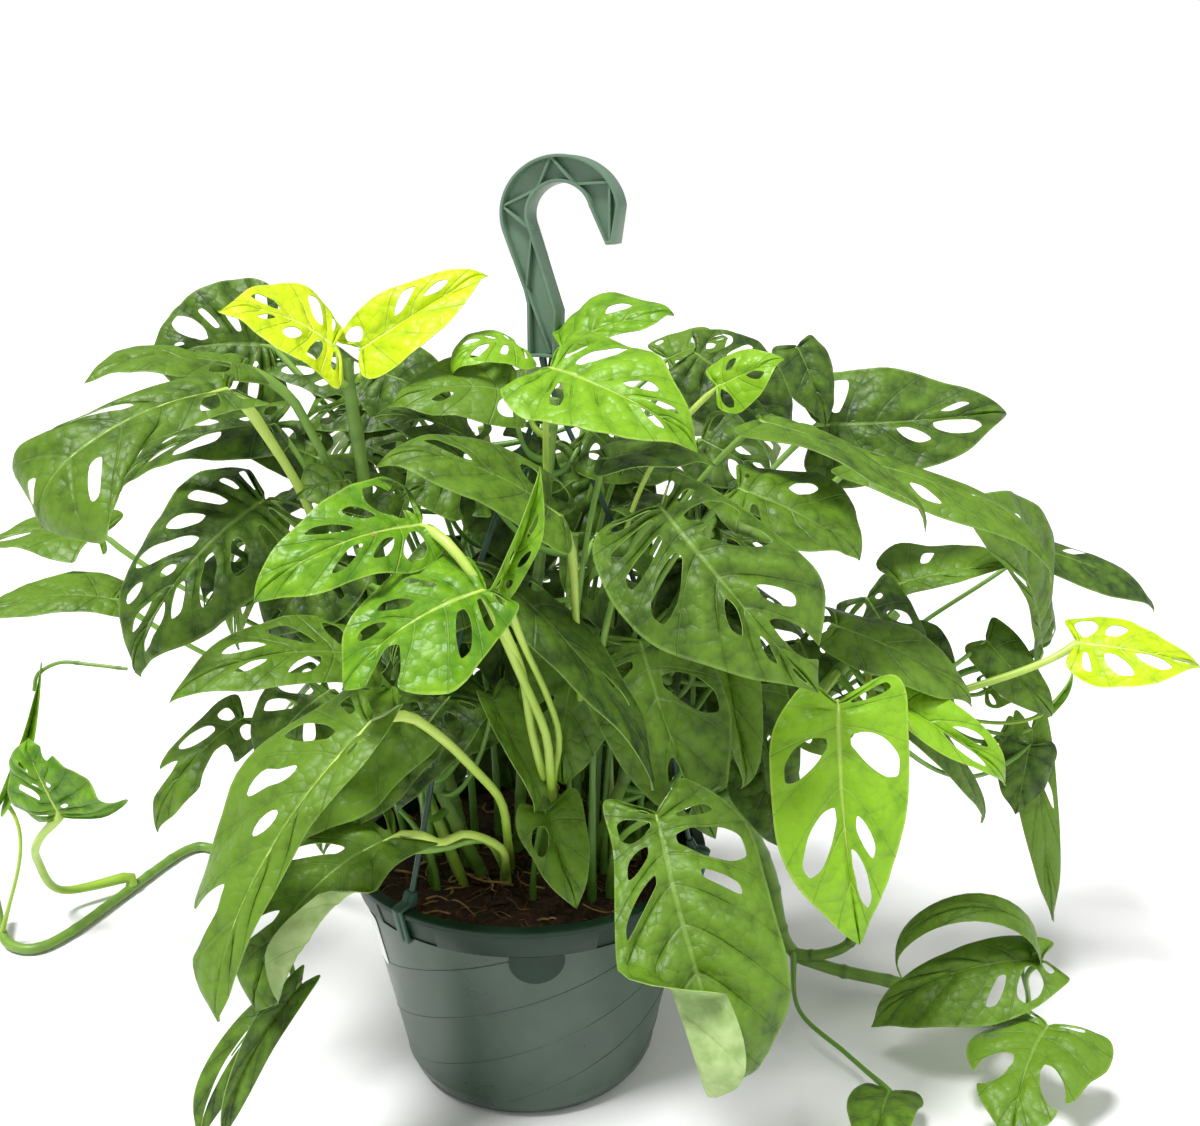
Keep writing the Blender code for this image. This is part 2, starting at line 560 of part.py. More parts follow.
def build_leaf(name, leaf, group, cutters, material):
    """A blade with its windows and its petiole, grown as one piece."""
    rows = len(MIDRIB_ALONG) - 1
    data = bmesh.new()
    bmesh.ops.create_grid(data, x_segments=2, y_segments=rows, size=0.5)
    length = blade_length(leaf)
    half = leaf["width"] / 2
    for vert in data.verts:
        row = round((vert.co.y + 0.5) * rows)
        sign = round(vert.co.x * 2)
        across = sign * half * MARGIN_SIDE[row]
        along = length * (MARGIN_ALONG[row] if sign else MIDRIB_ALONG[row])
        vert.co = (across, along, 0)
    bmesh.ops.remove_doubles(data, verts=data.verts, dist=0.01)
    data.faces.ensure_lookup_table()
    windows = leaf.get("holes", 4)
    faces = sorted(data.faces, key=lambda face: -face.calc_area())
    picked = [face for face in faces if len(face.verts) == 4 and face.calc_center_median().y > 0][:windows]
    if picked:
        bmesh.ops.inset_individual(data, faces=picked, thickness=HOLE_INSET * length / rows,
                                   use_even_offset=True)
        bmesh.ops.delete(data, geom=picked, context="FACES")
    for vert in data.verts:
        vert.co = MM * Vector(blade_point(leaf, vert.co.x, vert.co.y))
    bmesh.ops.recalc_face_normals(data, faces=data.faces)
    mesh = bpy.data.meshes.new(name)
    data.to_mesh(mesh)
    data.free()
    sheet = place(name, mesh, group, None)
    wall = sheet.modifiers.new("thickness", "SOLIDIFY")
    wall.thickness = MM * BLADE
    wall.offset = 0
    blade = solid_from(sheet, name, group, material)
    route = petiole_route(leaf)
    route[-1] = blade_point(leaf, 0, 0.03 * length)
    radius = PETIOLE_RADIUS if leaf["width"] > 20 else 1.4
    radii = [radius] * (len(route) - 1) + [0.7 * radius]
    petiole = tube(name + "_petiole", route, radii, 0, cutters, None)
    combine(blade, petiole, cutters, "UNION")
    return blade


def build():
    clear_scene()
    group = new_collection("monstera_adansonii")
    cutters = new_collection("cutters")
    pot_green = new_material("pot_green", (0.022, 0.062, 0.044), 0.35)
    hanger_green = new_material("hanger_green", (0.085, 0.18, 0.14), 0.42)
    paper = new_material("label_white", (0.85, 0.85, 0.83), 0.6)
    earth = new_material("potting_mix", (0.022, 0.012, 0.008), 0.95)
    bark = new_material("stem_green", (0.13, 0.26, 0.05), 0.5)
    tones = {tone: new_material("leaf_" + tone, colour, 0.38) for tone, colour in TONES.items()}
    build_pot(group, cutters, pot_green)
    build_label(group, paper)
    build_soil(group, earth)
    build_hook(group, cutters, hanger_green)
    for side, angle in STRAND_ANGLES.items():
        build_strand("strand_" + side, angle, group, cutters, hanger_green)
    for name in STEMS:
        radius, route = stem_route(name)
        tube(name, route, [radius] * len(route), 2, group, bark)
    for name, leaf in LEAVES.items():
        build_leaf(name, leaf, group, cutters, tones[leaf.get("tone", "mature")])


build()
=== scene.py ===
import json
import math
import random

import bmesh
import bpy
import numpy as np
from mathutils import Matrix, Vector, noise

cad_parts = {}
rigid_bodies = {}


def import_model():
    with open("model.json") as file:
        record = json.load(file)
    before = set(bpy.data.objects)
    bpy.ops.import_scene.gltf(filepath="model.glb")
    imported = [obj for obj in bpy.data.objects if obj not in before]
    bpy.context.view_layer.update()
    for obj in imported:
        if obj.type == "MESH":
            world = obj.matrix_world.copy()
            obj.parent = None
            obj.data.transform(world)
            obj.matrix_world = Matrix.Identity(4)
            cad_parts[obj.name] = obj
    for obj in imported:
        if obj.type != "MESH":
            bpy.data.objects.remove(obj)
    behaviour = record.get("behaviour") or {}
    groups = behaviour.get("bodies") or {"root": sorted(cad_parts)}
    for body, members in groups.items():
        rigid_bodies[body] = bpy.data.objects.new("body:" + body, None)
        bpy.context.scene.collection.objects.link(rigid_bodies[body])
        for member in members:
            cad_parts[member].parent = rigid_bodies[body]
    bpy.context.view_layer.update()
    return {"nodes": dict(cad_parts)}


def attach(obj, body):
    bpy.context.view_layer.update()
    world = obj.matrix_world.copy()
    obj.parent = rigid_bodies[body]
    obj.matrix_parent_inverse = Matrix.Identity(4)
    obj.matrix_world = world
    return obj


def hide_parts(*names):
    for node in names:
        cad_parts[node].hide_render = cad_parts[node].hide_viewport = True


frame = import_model()
mm = 0.001
print("frame loaded with", len(frame["nodes"]), "nodes")

# Camera: fitted to the pot's rim, band and foot, in metres and degrees
cameraSetup = dict(place=(0.0514, -0.8558, 0.5892), tiltDown=14.31, focalPixels=1300, imageWidth=1200)


def linkObject(name, data):
    item = bpy.data.objects.new(name, data)
    bpy.context.scene.collection.objects.link(item)
    return item


def addCamera(setup):
    lens = bpy.data.cameras.new("studioCamera")
    lens.sensor_fit = "HORIZONTAL"
    lens.lens = lens.sensor_width * setup["focalPixels"] / setup["imageWidth"]
    camera = linkObject("studioCamera", lens)
    camera.location = setup["place"]
    camera.rotation_euler = (math.radians(90 - setup["tiltDown"]), 0, 0)
    bpy.context.scene.camera = camera


addCamera(cameraSetup)
print("camera placed")


# Shared helpers
def linearColour(hexColour):
    parts = [int(hexColour[i:i + 2], 16) / 255 for i in (1, 3, 5)]
    return tuple(c / 12.92 if c <= 0.04045 else ((c + 0.055) / 1.055) ** 2.4 for c in parts) + (1.0,)


def addNode(tree, kind, inputs, settings=None, output=0):  # an input is a number, a hex colour or a socket
    node = tree.nodes.new("ShaderNode" + kind)
    for key, value in (settings or {}).items():
        setattr(node, key, value)
    for key, value in inputs.items():
        if isinstance(value, bpy.types.NodeSocket):
            tree.links.new(value, node.inputs[key])
        else:
            node.inputs[key].default_value = linearColour(value) if isinstance(value, str) else value
    return node.outputs[output] if len(node.outputs) else node


# Settings that many nodes share
times, plus, scaled, greater, absolute, zigzag = (
    dict(operation=name) for name in ("MULTIPLY", "ADD", "MULTIPLY_ADD", "MAXIMUM", "ABSOLUTE", "PINGPONG"))
colours, smooth = dict(data_type="RGBA"), dict(interpolation_type="SMOOTHSTEP")


def newMaterial(name):
    material = bpy.data.materials.new(name)
    material.use_nodes = True
    material.node_tree.nodes.clear()
    return material, material.node_tree


def activate(item):
    for other in bpy.context.view_layer.objects:
        other.select_set(False)
    item.select_set(True)
    bpy.context.view_layer.objects.active = item


def settle(item):
    activate(item)
    bpy.ops.object.transform_apply(location=True, rotation=True, scale=True)


def modify(item, kind, **settings):  # adds a modifier and applies it
    activate(item)
    modifier = item.modifiers.new("change", kind)
    for key, value in settings.items():
        setattr(modifier, key, value)
    bpy.ops.object.modifier_apply(modifier=modifier.name)


def editWhole(*steps):  # runs mesh tools on all of the active piece
    bpy.ops.object.mode_set(mode="EDIT")
    for tool, settings in steps:
        bpy.ops.mesh.select_all(action="SELECT")
        getattr(bpy.ops.mesh, tool)(**settings)
    bpy.ops.object.mode_set(mode="OBJECT")


weld = ("remove_doubles", dict(threshold=0.00002))
faceOut = ("normals_make_consistent", dict(inside=False))


def joinPieces(first, others):
    activate(first)
    for other in others:
        other.select_set(True)
    bpy.ops.object.join()
    return first


def finishPiece(item, node, finish=None, crease=None):
    if finish:
        item.data.materials.clear()
        item.data.materials.append(finish)
    if crease:
        activate(item)
        bpy.ops.object.shade_smooth_by_angle(angle=math.radians(crease))
    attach(item, "root")
    if node:
        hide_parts(node)


def smoothLine(points, count):
    knots = np.array(points, float)
    ends = np.vstack([2 * knots[0] - knots[1], knots, 2 * knots[-1] - knots[-2]])
    fine = []
    for i in range(len(knots) - 1):
        a, b, c, d = ends[i:i + 4]
        for t in np.linspace(0, 1, 24, endpoint=False):
            fine.append(0.5 * (2 * b + (c - a) * t + (2 * a - 5 * b + 4 * c - d) * t ** 2
                               + (3 * b - a - 3 * c + d) * t ** 3))
    fine = np.array(fine + [knots[-1]])
    travel = np.concatenate([[0], np.cumsum(np.linalg.norm(np.diff(fine, axis=0), axis=1))])
    marks = np.linspace(0, travel[-1], count)
    return np.stack([np.interp(marks, travel, fine[:, axis]) for axis in range(3)], axis=1)


def unit(vector):
    vector = np.array(vector, float)
    return vector / np.linalg.norm(vector)


def onCircle(radius, turn, height=0.0):
    return np.array([radius * math.cos(turn), radius * math.sin(turn), height])


def curvePiece(name, lines, closed, steps, **settings):  # lines of (place, radius), made a mesh
    curve = bpy.data.curves.new(name, "CURVE")
    for key, value in settings.items():
        setattr(curve, key, value)
    for line in lines:
        spline = curve.splines.new("POLY")
        spline.points.add(len(line) - 1)
        for spot, (place, radius) in zip(spline.points, line):
            spot.co = (*(mm * value for value in place), 1)
            spot.radius = radius
        spline.use_cyclic_u = closed
    activate(linkObject(name, curve))
    bpy.ops.object.convert(target="MESH")
    editWhole(*steps)
    return bpy.context.object


def tubePiece(name, points, radii, roundness=3):  # points and radii in millimetres
    item = curvePiece(name, [list(zip(points, radii))], False, (weld, faceOut), dimensions="3D",
                      bevel_depth=mm, bevel_resolution=roundness, use_fill_caps=True)
    bpy.ops.object.shade_smooth_by_angle(angle=math.radians(60))
    return item


# Floor and light: a white paper sweep, an even white world and two suns
floorSetup = dict(size=60.0, colours=("#f4f4f4", "#f8f8f8"), roughness=0.7, stain=0.4)


def addFloor(setup):
    bpy.ops.mesh.primitive_plane_add(size=setup["size"])
    floor = bpy.context.object
    floor.name = "studioFloor"
    material, tree = newMaterial("mattPaperSweep")  # unglazed paper: flat white with a trace of unevenness
    coords = addNode(tree, "TexCoord", {}, output="Object")
    stain = addNode(tree, "TexNoise", {"Vector": coords, "Scale": 1 / setup["stain"]})
    shade = addNode(tree, "Mix", {0: stain, 6: setup["colours"][0], 7: setup["colours"][1]}, colours, 2)
    surface = addNode(tree, "BsdfPrincipled", {"Base Color": shade, "Roughness": setup["roughness"]})
    addNode(tree, "OutputMaterial", {"Surface": surface})
    floor.data.materials.append(material)


lightSetup = dict(
    ambient=0.34, backdrop=1.0,
    lamps=dict(key=dict(aim=(0.32, 0.32, -1.0), strength=3.9, spread=16),
               fill=dict(aim=(-0.8, 0.45, -0.8), strength=0.8, spread=70)))


def addLights(setup):
    world = bpy.context.scene.world = bpy.data.worlds.new("studioWorld")
    world.use_nodes = True
    tree = world.node_tree
    back = tree.nodes["Background"]
    back.inputs["Color"].default_value = linearColour("#ffffff")
    seen = addNode(tree, "LightPath", {}, output="Is Camera Ray")  # the backdrop is white, but lights less
    strength = addNode(tree, "MapRange", {0: seen, 3: setup["ambient"], 4: setup["backdrop"]})
    tree.links.new(strength, back.inputs["Strength"])
    for name, spec in setup["lamps"].items():
        lamp = bpy.data.lights.new(name + "Light", "SUN")
        lamp.energy = spec["strength"]
        lamp.angle = math.radians(spec["spread"])
        holder = linkObject(name + "Light", lamp)
        holder.location = -Vector(spec["aim"])
        holder.rotation_euler = Vector(spec["aim"]).to_track_quat("-Z", "Y").to_euler()
    bpy.context.scene.view_settings.view_transform = "Standard"


addFloor(floorSetup)
addLights(lightSetup)
print("floor and lights ready")

# Leaves and stems, in millimetres from the centre of the pot's base: x right, y away from the viewer, z up
# Stems: radius and route in millimetres
stems = dict(
    crown_left=(5.0, [(-42, -8, 152.3), (-62, -14, 250), (-92, -26, 370), (-108, -40, 512)]),
    crown_centre=(4.2, [(-8, 10, 152.3), (0, -2, 280), (14, -18, 400), (22, -26, 486)]),
    right=(5.2, [(66, 14, 152.3), (86, 12, 184), (128, 6, 206), (170, -8, 240), (214, -18, 300), (232, -20,
    312)]),
    back_right=(4.8, [(62, 52, 152.3), (92, 68, 192), (150, 84, 214), (226, 82, 226), (290, 70, 238), (318,
    66, 246)]),
    trail_right=(5.6, [(84, 30, 152.3), (106, 40, 180), (146, 56, 176), (182, 70, 110), (200, 74, 40),
    (231, 68, 22), (297, 46, 17), (352, 18, 6.5), (372, -2, 8)]),
    trail_left=(5.0, [(-58, 66, 152.3), (-84, 84, 186), (-138, 120, 184), (-200, 170, 120), (-262, 236,
    40), (-320, 300, 8), (-352, 300, 5.6), (-384, 208, 5.6), (-404, 148, 5.6), (-424, 122, 5.6), (-452,
    132, 8), (-474, 166, 26)]),
    trail_sprout=(4.6, [(203, 72, 32), (222, 68, 32), (243, 64, 41), (257, 62, 58)]),
    trail_thread=(1.7, [(-407, 139, 229), (-402, 139, 243), (-383, 138, 253), (-358, 136, 252), (-328, 134,
    249)]),
    inner_left=(4.6, [(-30, -30, 152.3), (-58, -46, 230), (-84, -56, 320), (-98, -60, 396)]),
    inner_right=(4.6, [(44, -14, 152.3), (72, -36, 240), (104, -46, 330), (120, -50, 410)]),
    inner_back=(4.6, [(10, 56, 152.3), (0, 80, 260), (-20, 90, 370), (-34, 84, 452)]),
    inner_middle=(4.2, [(10, -24, 152.3), (16, -30, 240), (30, -36, 320), (34, -40, 400)]),
    right_pale=(5.0, [(60, 6, 152.3), (152, -16, 216), (190, -10, 260), (230, 0, 301), (258, 16, 331)]))

leaves = {}
solid = "...... ......"  # no windows
bare = " "  # no windows and few veins


def grow(name, joint, tip, face, width, foot, windows=None, **more):  # windows: left half, then right half
    leaf = leaves["leaf_" + name] = dict(joint=joint, tip=tip, face=face, width=width, foot=foot, **more)
    if windows:
        leaf["left"], leaf["right"] = windows.split(" ")


# The leaves that the frame has as plain solids
grow("crown_left", (-112, -52, 521), (-173, -80, 544), (-0.2, -0.6, 0.75), 72, ("crown_left", 0.96, -0.4,
     -0.9, 0.1), ".sl.l. .slms.", tone="new", shade=0.7, arch=35, sway=0.08)
grow("crown_left_rear", (-98, -34, 518), (-20, -5, 562), (-0.4, -0.75, 0.5), 64, ("crown_left", 0.96, 0.8,
     0.5, 0.1), "...... .b.lm.", tone="new", arch=20, fold=25, rimRight=(0.5, 0.66, 0.66, 0.5, 0.2))
grow("rear_left_top", (-178, 60, 512), (-264, 60, 500), (-0.1, -0.95, 0.35), 104, (-40, 16),
     ".bmbl ..l...", twist=0)
grow("left_high", (-172, -36, 507), (-254, -84, 502), (-0.3, -0.35, 0.9), 70, (-66, 8), "...... ..l...",
     via=[(-118, -20, 378), (-123, -26, 436), (-134, -30, 466), (-147, -34, 491)], stalkSize=1.5, arch=35,
     curl=20, twist=0)
grow("left_front_high", (-166, -92, 499), (-259, -150, 429), (-0.35, -0.75, 0.6), 82, (-46, -36),
     ".s.l.s .sl.s.", via=[(-123, -40, 383), (-138, -56, 436), (-147, -70, 461), (-157, -84, 486)],
     stalk="pale", stalkSize=1.5, arch=48, curl=60, twist=0, wave=4, rimLeft=(0.5, 0.5, 0.55, 0.95, 1.1),
     rimRight=(0.5, 0.5, 0.55, 1.15, 1.2))
grow("left_edge", (-280, 0, 345), (-376, -16, 330), (-0.1, -0.4, 0.9), 62, (-88, 2), solid, rimRight=(0.5,
     0.6, 0.6, 0.45, 0.2))
grow("left_big", (-165, -30, 421), (-240, -74, 315), (-0.35, -0.8, 0.5), 114, (-72, -8),
     ".lslbwm. .blslmb.", shade=0.12, twist=0, quilt=3.2)
grow("front_left_bright", (-51, -125, 425), (-137, -178, 394), (-0.15, -0.85, 0.5), 84, (17, 58),
     ".bbl.. .lbl..", via=[(20, -88, 249), (18, -106, 289), (3, -130, 340), (-15, -148, 392), (-34, -140,
     417)], tone="young", stalk="pale", stalkSize=1.35, twist=0, wave=4, rimLeft=(0.95, 1.0, 0.72, 0.45,
     0.2), rimRight=(0.32, 0.62, 0.62, 0.5, 0.22))
grow("front_centre_bright", (-12, -155, 395), (-88, -195, 350), (-0.3, -0.75, 0.6), 86, (15, 58),
     ".m.mm. .sl.t.", via=[(15, -84, 252), (9, -100, 289), (5, -124, 336), (-4, -144, 369)], tone="young",
     stalk="pale", stalkSize=1.35, twist=0, wave=4, rimLeft=(0.7, 0.95, 0.9, 0.6, 0.3), rimRight=(0.4, 0.7,
     1.15, 0.85, 0.35))
grow("new_centre", (-5, -150, 396), (19, -160, 466), (0.3, -0.9, 0.1), 24, (17, 58), ".mms. .ms..",
     via=[(22, -82, 251), (26, -96, 283), (19, -112, 317), (6, -136, 359), (0, -146, 381)], tone="young",
     stalk="pale", stalkSize=1.35, arch=5, fold=60, veins=5)
grow("front_left_long", (-76, -175, 324), (-157, -228, 170), (-0.5, -0.75, 0.35), 84, (-13, -16),
     ".slbwit. ..i.....", arrive=(-0.75, -0.6, 0.2), via=[(-9, -80, 209), (-12, -92, 239), (-28, -118,
     274), (-43, -145, 304), (-59, -165, 324)], stalk="pale", stalkSize=1.4, shade=0.7, arch=35, twist=0,
     fold=4, wave=4, rimLeft=(0.95, 1.3, 1.25, 1.08, 0.6), rimRight=(0.16, 0.42, 0.4, 0.3, 0.2))
grow("left_mid", (-98, -104, 340), (-197, -150, 326), (-0.3, -0.6, 0.75), 62, (-64, -42), ".lblm. .l.ls.",
     shade=0.8, twist=0)
grow("rim_left", (-72, -135, 235), (-147, -192, 153), (-0.35, -0.85, 0.4), 86, (-14, -37),
     ".l.l.s. ......", via=[(-11, -88, 201), (-22, -98, 215), (-35, -108, 223), (-47, -118, 222), (-58,
     -128, 232)], stalk="pale", stalkSize=1.3, shade=0.5, arch=50, curl=25, twist=0, sway=0.1,
     rimLeft=(0.6, 0.74, 0.78, 0.72, 0.42), rimRight=(0.45, 0.5, 0.85, 0.85, 0.42), rolls=[("right", 0.25,
     0.85, 0.38, 165)])
grow("rim_left_low", (-142, -170, 144), (-187, -190, 64), (-0.5, -0.8, 0.3), 25, (-14, -37), solid,
     via=[(-22, -92, 211), (-50, -104, 211), (-79, -116, 215), (-116, -136, 201), (-137, -156, 171)],
     shade=0.3, twist=40, fold=12, wave=4, rim=(0.5, 0.8, 1.0, 0.8, 0.4), slit=0.62)
grow("rim_centre", (16, -80, 225), (37, -112, 173), (0.2, -0.7, 0.6), 48, (6, -60), "...b.. ......",
     fold=30, wave=4)
grow("front_right_big", (85, -135, 250), (129, -196, 107), (0.15, -0.9, 0.4), 108, (58, -58),
     ".ibm.... ..sb..i.", shade=0.6, arch=45, twist=0, wave=4, quilt=3.4, rimLeft=(0.58, 0.6, 0.75, 0.95,
     0.7), rimRight=(0.4, 1.0, 1.15, 0.9, 0.5), rolls=[("left", 0.45, 1.0, 0.25, 165)])
grow("right_bright", (196, -112, 312), (208, -152, 172), (0.1, -0.95, 0.3), 88, ("right", 0.9, -0.2, -1,
     0.3), "...b.b.. .l.b.mb.", tone="young", shade=0.75, arch=30, twist=0, wave=1.5, rimLeft=(0.5, 0.97,
     1.05, 0.75, 0.35))
grow("front_big", (86, -132, 438), (172, -174, 341), (0.1, -0.85, 0.55), 108, (46, -62), ".llb.sm .lbb.b.",
     shade=0.3, arch=35, twist=0, wave=2.5, quilt=3.4, rimRight=(0.38, 0.66, 0.9, 0.78, 0.3))
grow("crown_right", (27, -36, 519), (97, -42, 539), (-0.1, -0.5, 0.8), 60, ("crown_centre", 0.97, 0.9,
     -0.3, 0.2), "...... ..b.m.", tone="young", twist=0, rimLeft=(0.3, 0.35, 0.45, 0.45, 0.2),
     rimRight=(1.0, 1.5, 1.4, 0.9, 0.4))
grow("crown_front", (22, -90, 512), (107, -135, 469), (0.1, -0.6, 0.8), 88, ("crown_centre", 0.8, 0.1, -1,
     0.2), "..m.s. .lb.l.", tone="young", shade=0.35, twist=0, wave=4)
grow("rear_right_top", (117, 60, 508), (187, 66, 451), (0.35, -0.85, 0.5), 82, (34, 20), "...... ..b...",
     twist=0, rimRight=(0.35, 0.85, 1.2, 0.95, 0.4))
grow("right_far", (203, 44, 459), (340, 62, 464), (0, -0.85, 0.5), 86, (64, 22), "...mb. ..l.s.", arch=20,
     twist=0)
grow("centre_edge", (54, -82, 456), (122, -84, 452), (0, -0.15, 1), 50, (30, -40), "...... ..s...",
     arrive=(0.2, -0.5, 0.85))
grow("right_light_edge", (150, -60, 476), (250, -84, 412), (0.3, -0.2, 0.95), 55, (48, -4),
     "...... .s.s..")
grow("right_mid_high", (134, -92, 440), (206, -104, 399), (0.25, -0.5, 0.8), 66, (54, -24),
     "..s... .i.m..", shade=0.5, twist=0, rimRight=(0.8, 1.1, 1.3, 1.1, 0.5))
grow("right_long", (220, -20, 444), (344, -42, 368), (0.3, -0.4, 0.85), 55, (78, -2), ".s.s.. .ss.s.",
     shade=0.6, twist=0, sway=0.0)
grow("right_arch", (379, 64, 289), (302, 24, 412), (0.35, -0.75, 0.5), 84, ("back_right", 0.985, 0.6, 0.3,
     0.8), ".s..s. .s.s..", stalkSize=1.4, arch=30, twist=0, wave=3.5, rimLeft=(0.9, 1.35, 1.5, 1.15, 0.5),
     rimRight=(0.25, 0.25, 0.3, 0.4, 0.35))
grow("right_yellow", (398, 44, 300), (484, 34, 284), (0.1, -0.6, 0.8), 62, ("back_right", 0.93, 0.3, -0.8,
     0.6), ".slllb .bsm..", tone="new", stalkSize=1.5, shade=0.3)
grow("right_far_low", (385, 124, 352), (488, 126, 298), (0.2, -0.4, 0.9), 55, ("back_right", 0.78, 0.1,
     0.8, 0.6), "...... .s.s..")
grow("right_folded", (236, -64, 298), (314, -78, 242), (0.3, -0.6, 0.7), 45, ("right", 0.985, 0.8, -0.5,
     0.1), "..s.b. .s..l.", tone="young", stalkSize=1.3, fold=35)
grow("right_dark_long", (250, 16, 284), (326, 6, 176), (0.5, -0.5, 0.6), 48, ("right", 0.55, 0.2, 0.9,
     0.4), solid)
grow("right_hanging", (382, 78, 221), (411, 72, 59), (0.2, -0.95, 0.2), 34, ("back_right", 0.96, 0.8, 0.5,
     -0.1), ".s.... ...s..", arch=25, wave=5)
grow("trail_right_left", (366, -30, 87), (248, -24, 29), (-0.2, -0.5, 0.85), 80, ("trail_right", 0.985,
     0.8, -0.2, 0.6), "...... .mb...", arch=60, twist=0, wave=5, rimLeft=(0.35, 0.5, 0.4, 0.32, 0.2),
     rimRight=(0.4, 0.8, 1.0, 0.7, 0.3))
grow("trail_right_end", (362, -62, 56), (318, -134, 14), (-0.2, -0.4, 0.9), 84, ("trail_right", 0.93, 0.7,
     -0.7, 0.3), ".s.b.. .m.b.t", arch=40, twist=0, wave=4, quilt=2.2, rimLeft=(0.5, 0.75, 0.95, 0.7, 0.3),
     rimRight=(0.95, 1.1, 0.9, 0.6, 0.3))
grow("trail_right_front", (248, -90, 24), (228, -152, 12), (0, -0.1, 1), 48, ("trail_right", 0.56, -0.3,
     -0.9, 0.2), "..m... ......", via=[(200, 2, 26), (226, -44, 22)])
grow("trail_left", (-376, 92, 141), (-391, 84, 210), (-0.3, -0.9, 0.2), 88, ("trail_left", 0.74, -0.3,
     -0.5, 0.8), "..i.n. .l.ls.", via=[(-426, 190, 23), (-425, 150, 71), (-407, 115, 107)], tone="young",
     stalkSize=1.7, shade=0.1, arch=30, twist=0, wave=4, rimLeft=(1.2, 1.15, 0.85, 0.6, 0.35),
     rimRight=(0.6, 0.9, 0.8, 0.55, 0.3))
grow("trail_left_new", (-442, 138, 133), (-399, 140, 253), (0.3, -0.9, 0.1), 20, ("trail_left", 0.95, 0.3,
     -0.2, 0.9), bare, tone="young", arch=5, fold=70, veins=4)
grow("centre_long", (-2, -98, 380), (83, -122, 259), (0.6, -0.3, 0.6), 58, ("inner_middle", 0.85, 0.3,
     -0.9, 0.2), "...... .s..s.", twist=0)
grow("centre_round", (38, -56, 327), (28, -64, 237), (-0.05, -0.97, 0.2), 72, ("inner_middle", 0.75, 0.5,
     -0.8, 0.2), "...s.. ......", shade=0.45, twist=0)
grow("centre_right", (77, -66, 337), (125, -96, 214), (0.1, -0.95, 0.3), 84, ("inner_right", 0.6, 0.3,
     -0.9, 0.2), ".tl.b. .n.b.n.", shade=0.5, twist=0, wave=5)
grow("centre_flat", (27, -104, 426), (-80, -112, 456), (0, -0.3, 0.95), 74, (36, 97), ".bl.l. ......",
     via=[(39, -80, 309), (37, -90, 345), (36, -98, 379), (34, -104, 408)], stalk="pale", stalkSize=1.25,
     shade=0.4)
grow("crown_under", (-4, -44, 492), (-78, -58, 484), (0, -0.7, 0.7), 58, ("crown_centre", 0.88, -0.9, -0.5,
     0.2), "..i... .b..s.", shade=0.9)
grow("back_left_high", (-104, 140, 462), (-178, 214, 396), (-0.4, 0.4, 0.8), 86, (-24, 34))
grow("back_high", (12, 150, 486), (18, 248, 430), (0, 0.5, 0.85), 86, (4, 44))
grow("back_right_high", (116, 146, 452), (192, 216, 390), (0.4, 0.4, 0.8), 86, (34, 42))
grow("back_mid", (-30, 186, 346), (-42, 262, 240), (-0.1, 0.75, 0.6), 98, (-12, 78))
grow("back_right_mid", (110, 180, 326), (168, 244, 226), (0.5, 0.65, 0.5), 90, (44, 76))
# Leaves without a plain solid in the frame: the dense middle, the rear and the far sides
grow("edge_rear", (-305, 50, 380), (-400, 50, 360), (-0.1, -0.3, 0.9), 70, (-60, 30))
grow("left_under", (-165, 0, 465), (-270, 0, 420), (-0.3, -0.4, 0.85), 66, ("inner_left", 0.9, -0.6, 0.8,
     0.2))
grow("left_narrow", (-175, -80, 290), (-225, -110, 225), (-0.4, -0.8, 0.4), 50, (-60, -50),
     ".mmbt. .llt..", wave=3)
grow("left_inner", (-70, -105, 300), (-140, -130, 220), (-0.4, -0.7, 0.5), 72, ("inner_left", 0.6, -0.6,
     -0.8, 0.2), solid)
grow("crown_small", (125, -40, 495), (165, -45, 512), (0.1, -0.7, 0.7), 40, (60, -10), ".b..l. ..mm..",
     tone="young", shade=1.0)
grow("rear_right_inner", (100, 90, 500), (146, 115, 513), (0.1, -0.5, 0.8), 46, ("inner_back", 0.95, 0.9,
     -0.2, 0.2))
grow("right_rear_hole", (184, 30, 514), (203, 18, 462), (0.4, -0.7, 0.6), 45, (70, 30), "..b... ......")
grow("right_curved", (265, 40, 345), (350, 50, 355), (0, -0.4, 0.9), 60, ("back_right", 0.8, 0.1, -0.3,
     0.9), "...... ...s..", stalkSize=1.4, twist=0, rimLeft=(0.4, 0.4, 0.4, 0.3, 0.1), rimRight=(1.0, 1.3,
     1.1, 0.8, 0.4))
grow("right_inner", (205, -45, 340), (295, -55, 288), (0.3, -0.4, 0.85), 60, ("right", 0.95, 0.3, -0.5,
     0.8), solid, stalkSize=1.4)
grow("right_round", (365, 100, 205), (400, 90, 160), (0.3, -0.8, 0.5), 52, ("back_right", 0.9, 0.4, 0.8,
     0.1))
grow("right_small", (345, 80, 250), (380, 80, 260), (0, -0.8, 0.6), 28, ("back_right", 0.95, 0.3, 0.3,
     0.8))
grow("right_new", (385, 62, 240), (402, 60, 272), (0.3, -0.9, 0.1), 12, ("back_right", 0.97, 0.9, 0.1,
     0.1), bare, tone="young", arch=5, fold=60, veins=4)
grow("right_behind", (170, 45, 280), (220, 30, 215), (0.3, -0.7, 0.6), 60, ("inner_right", 0.5, 0.9, 0.3,
     0.2))
grow("centre_curled", (134, -50, 310), (144, -70, 236), (0.4, -0.8, 0.3), 40, ("inner_right", 0.45, 0.8,
     -0.5, 0.2), solid, shade=0.9, fold=45, wave=7)
grow("crown_slit", (0, -22, 518), (-40, -42, 502), (-0.2, -0.6, 0.7), 42, ("crown_centre", 0.93, -0.6,
     -0.6, 0.4), ".slsl. .s.sl.", tone="young", shade=0.9, arch=95)
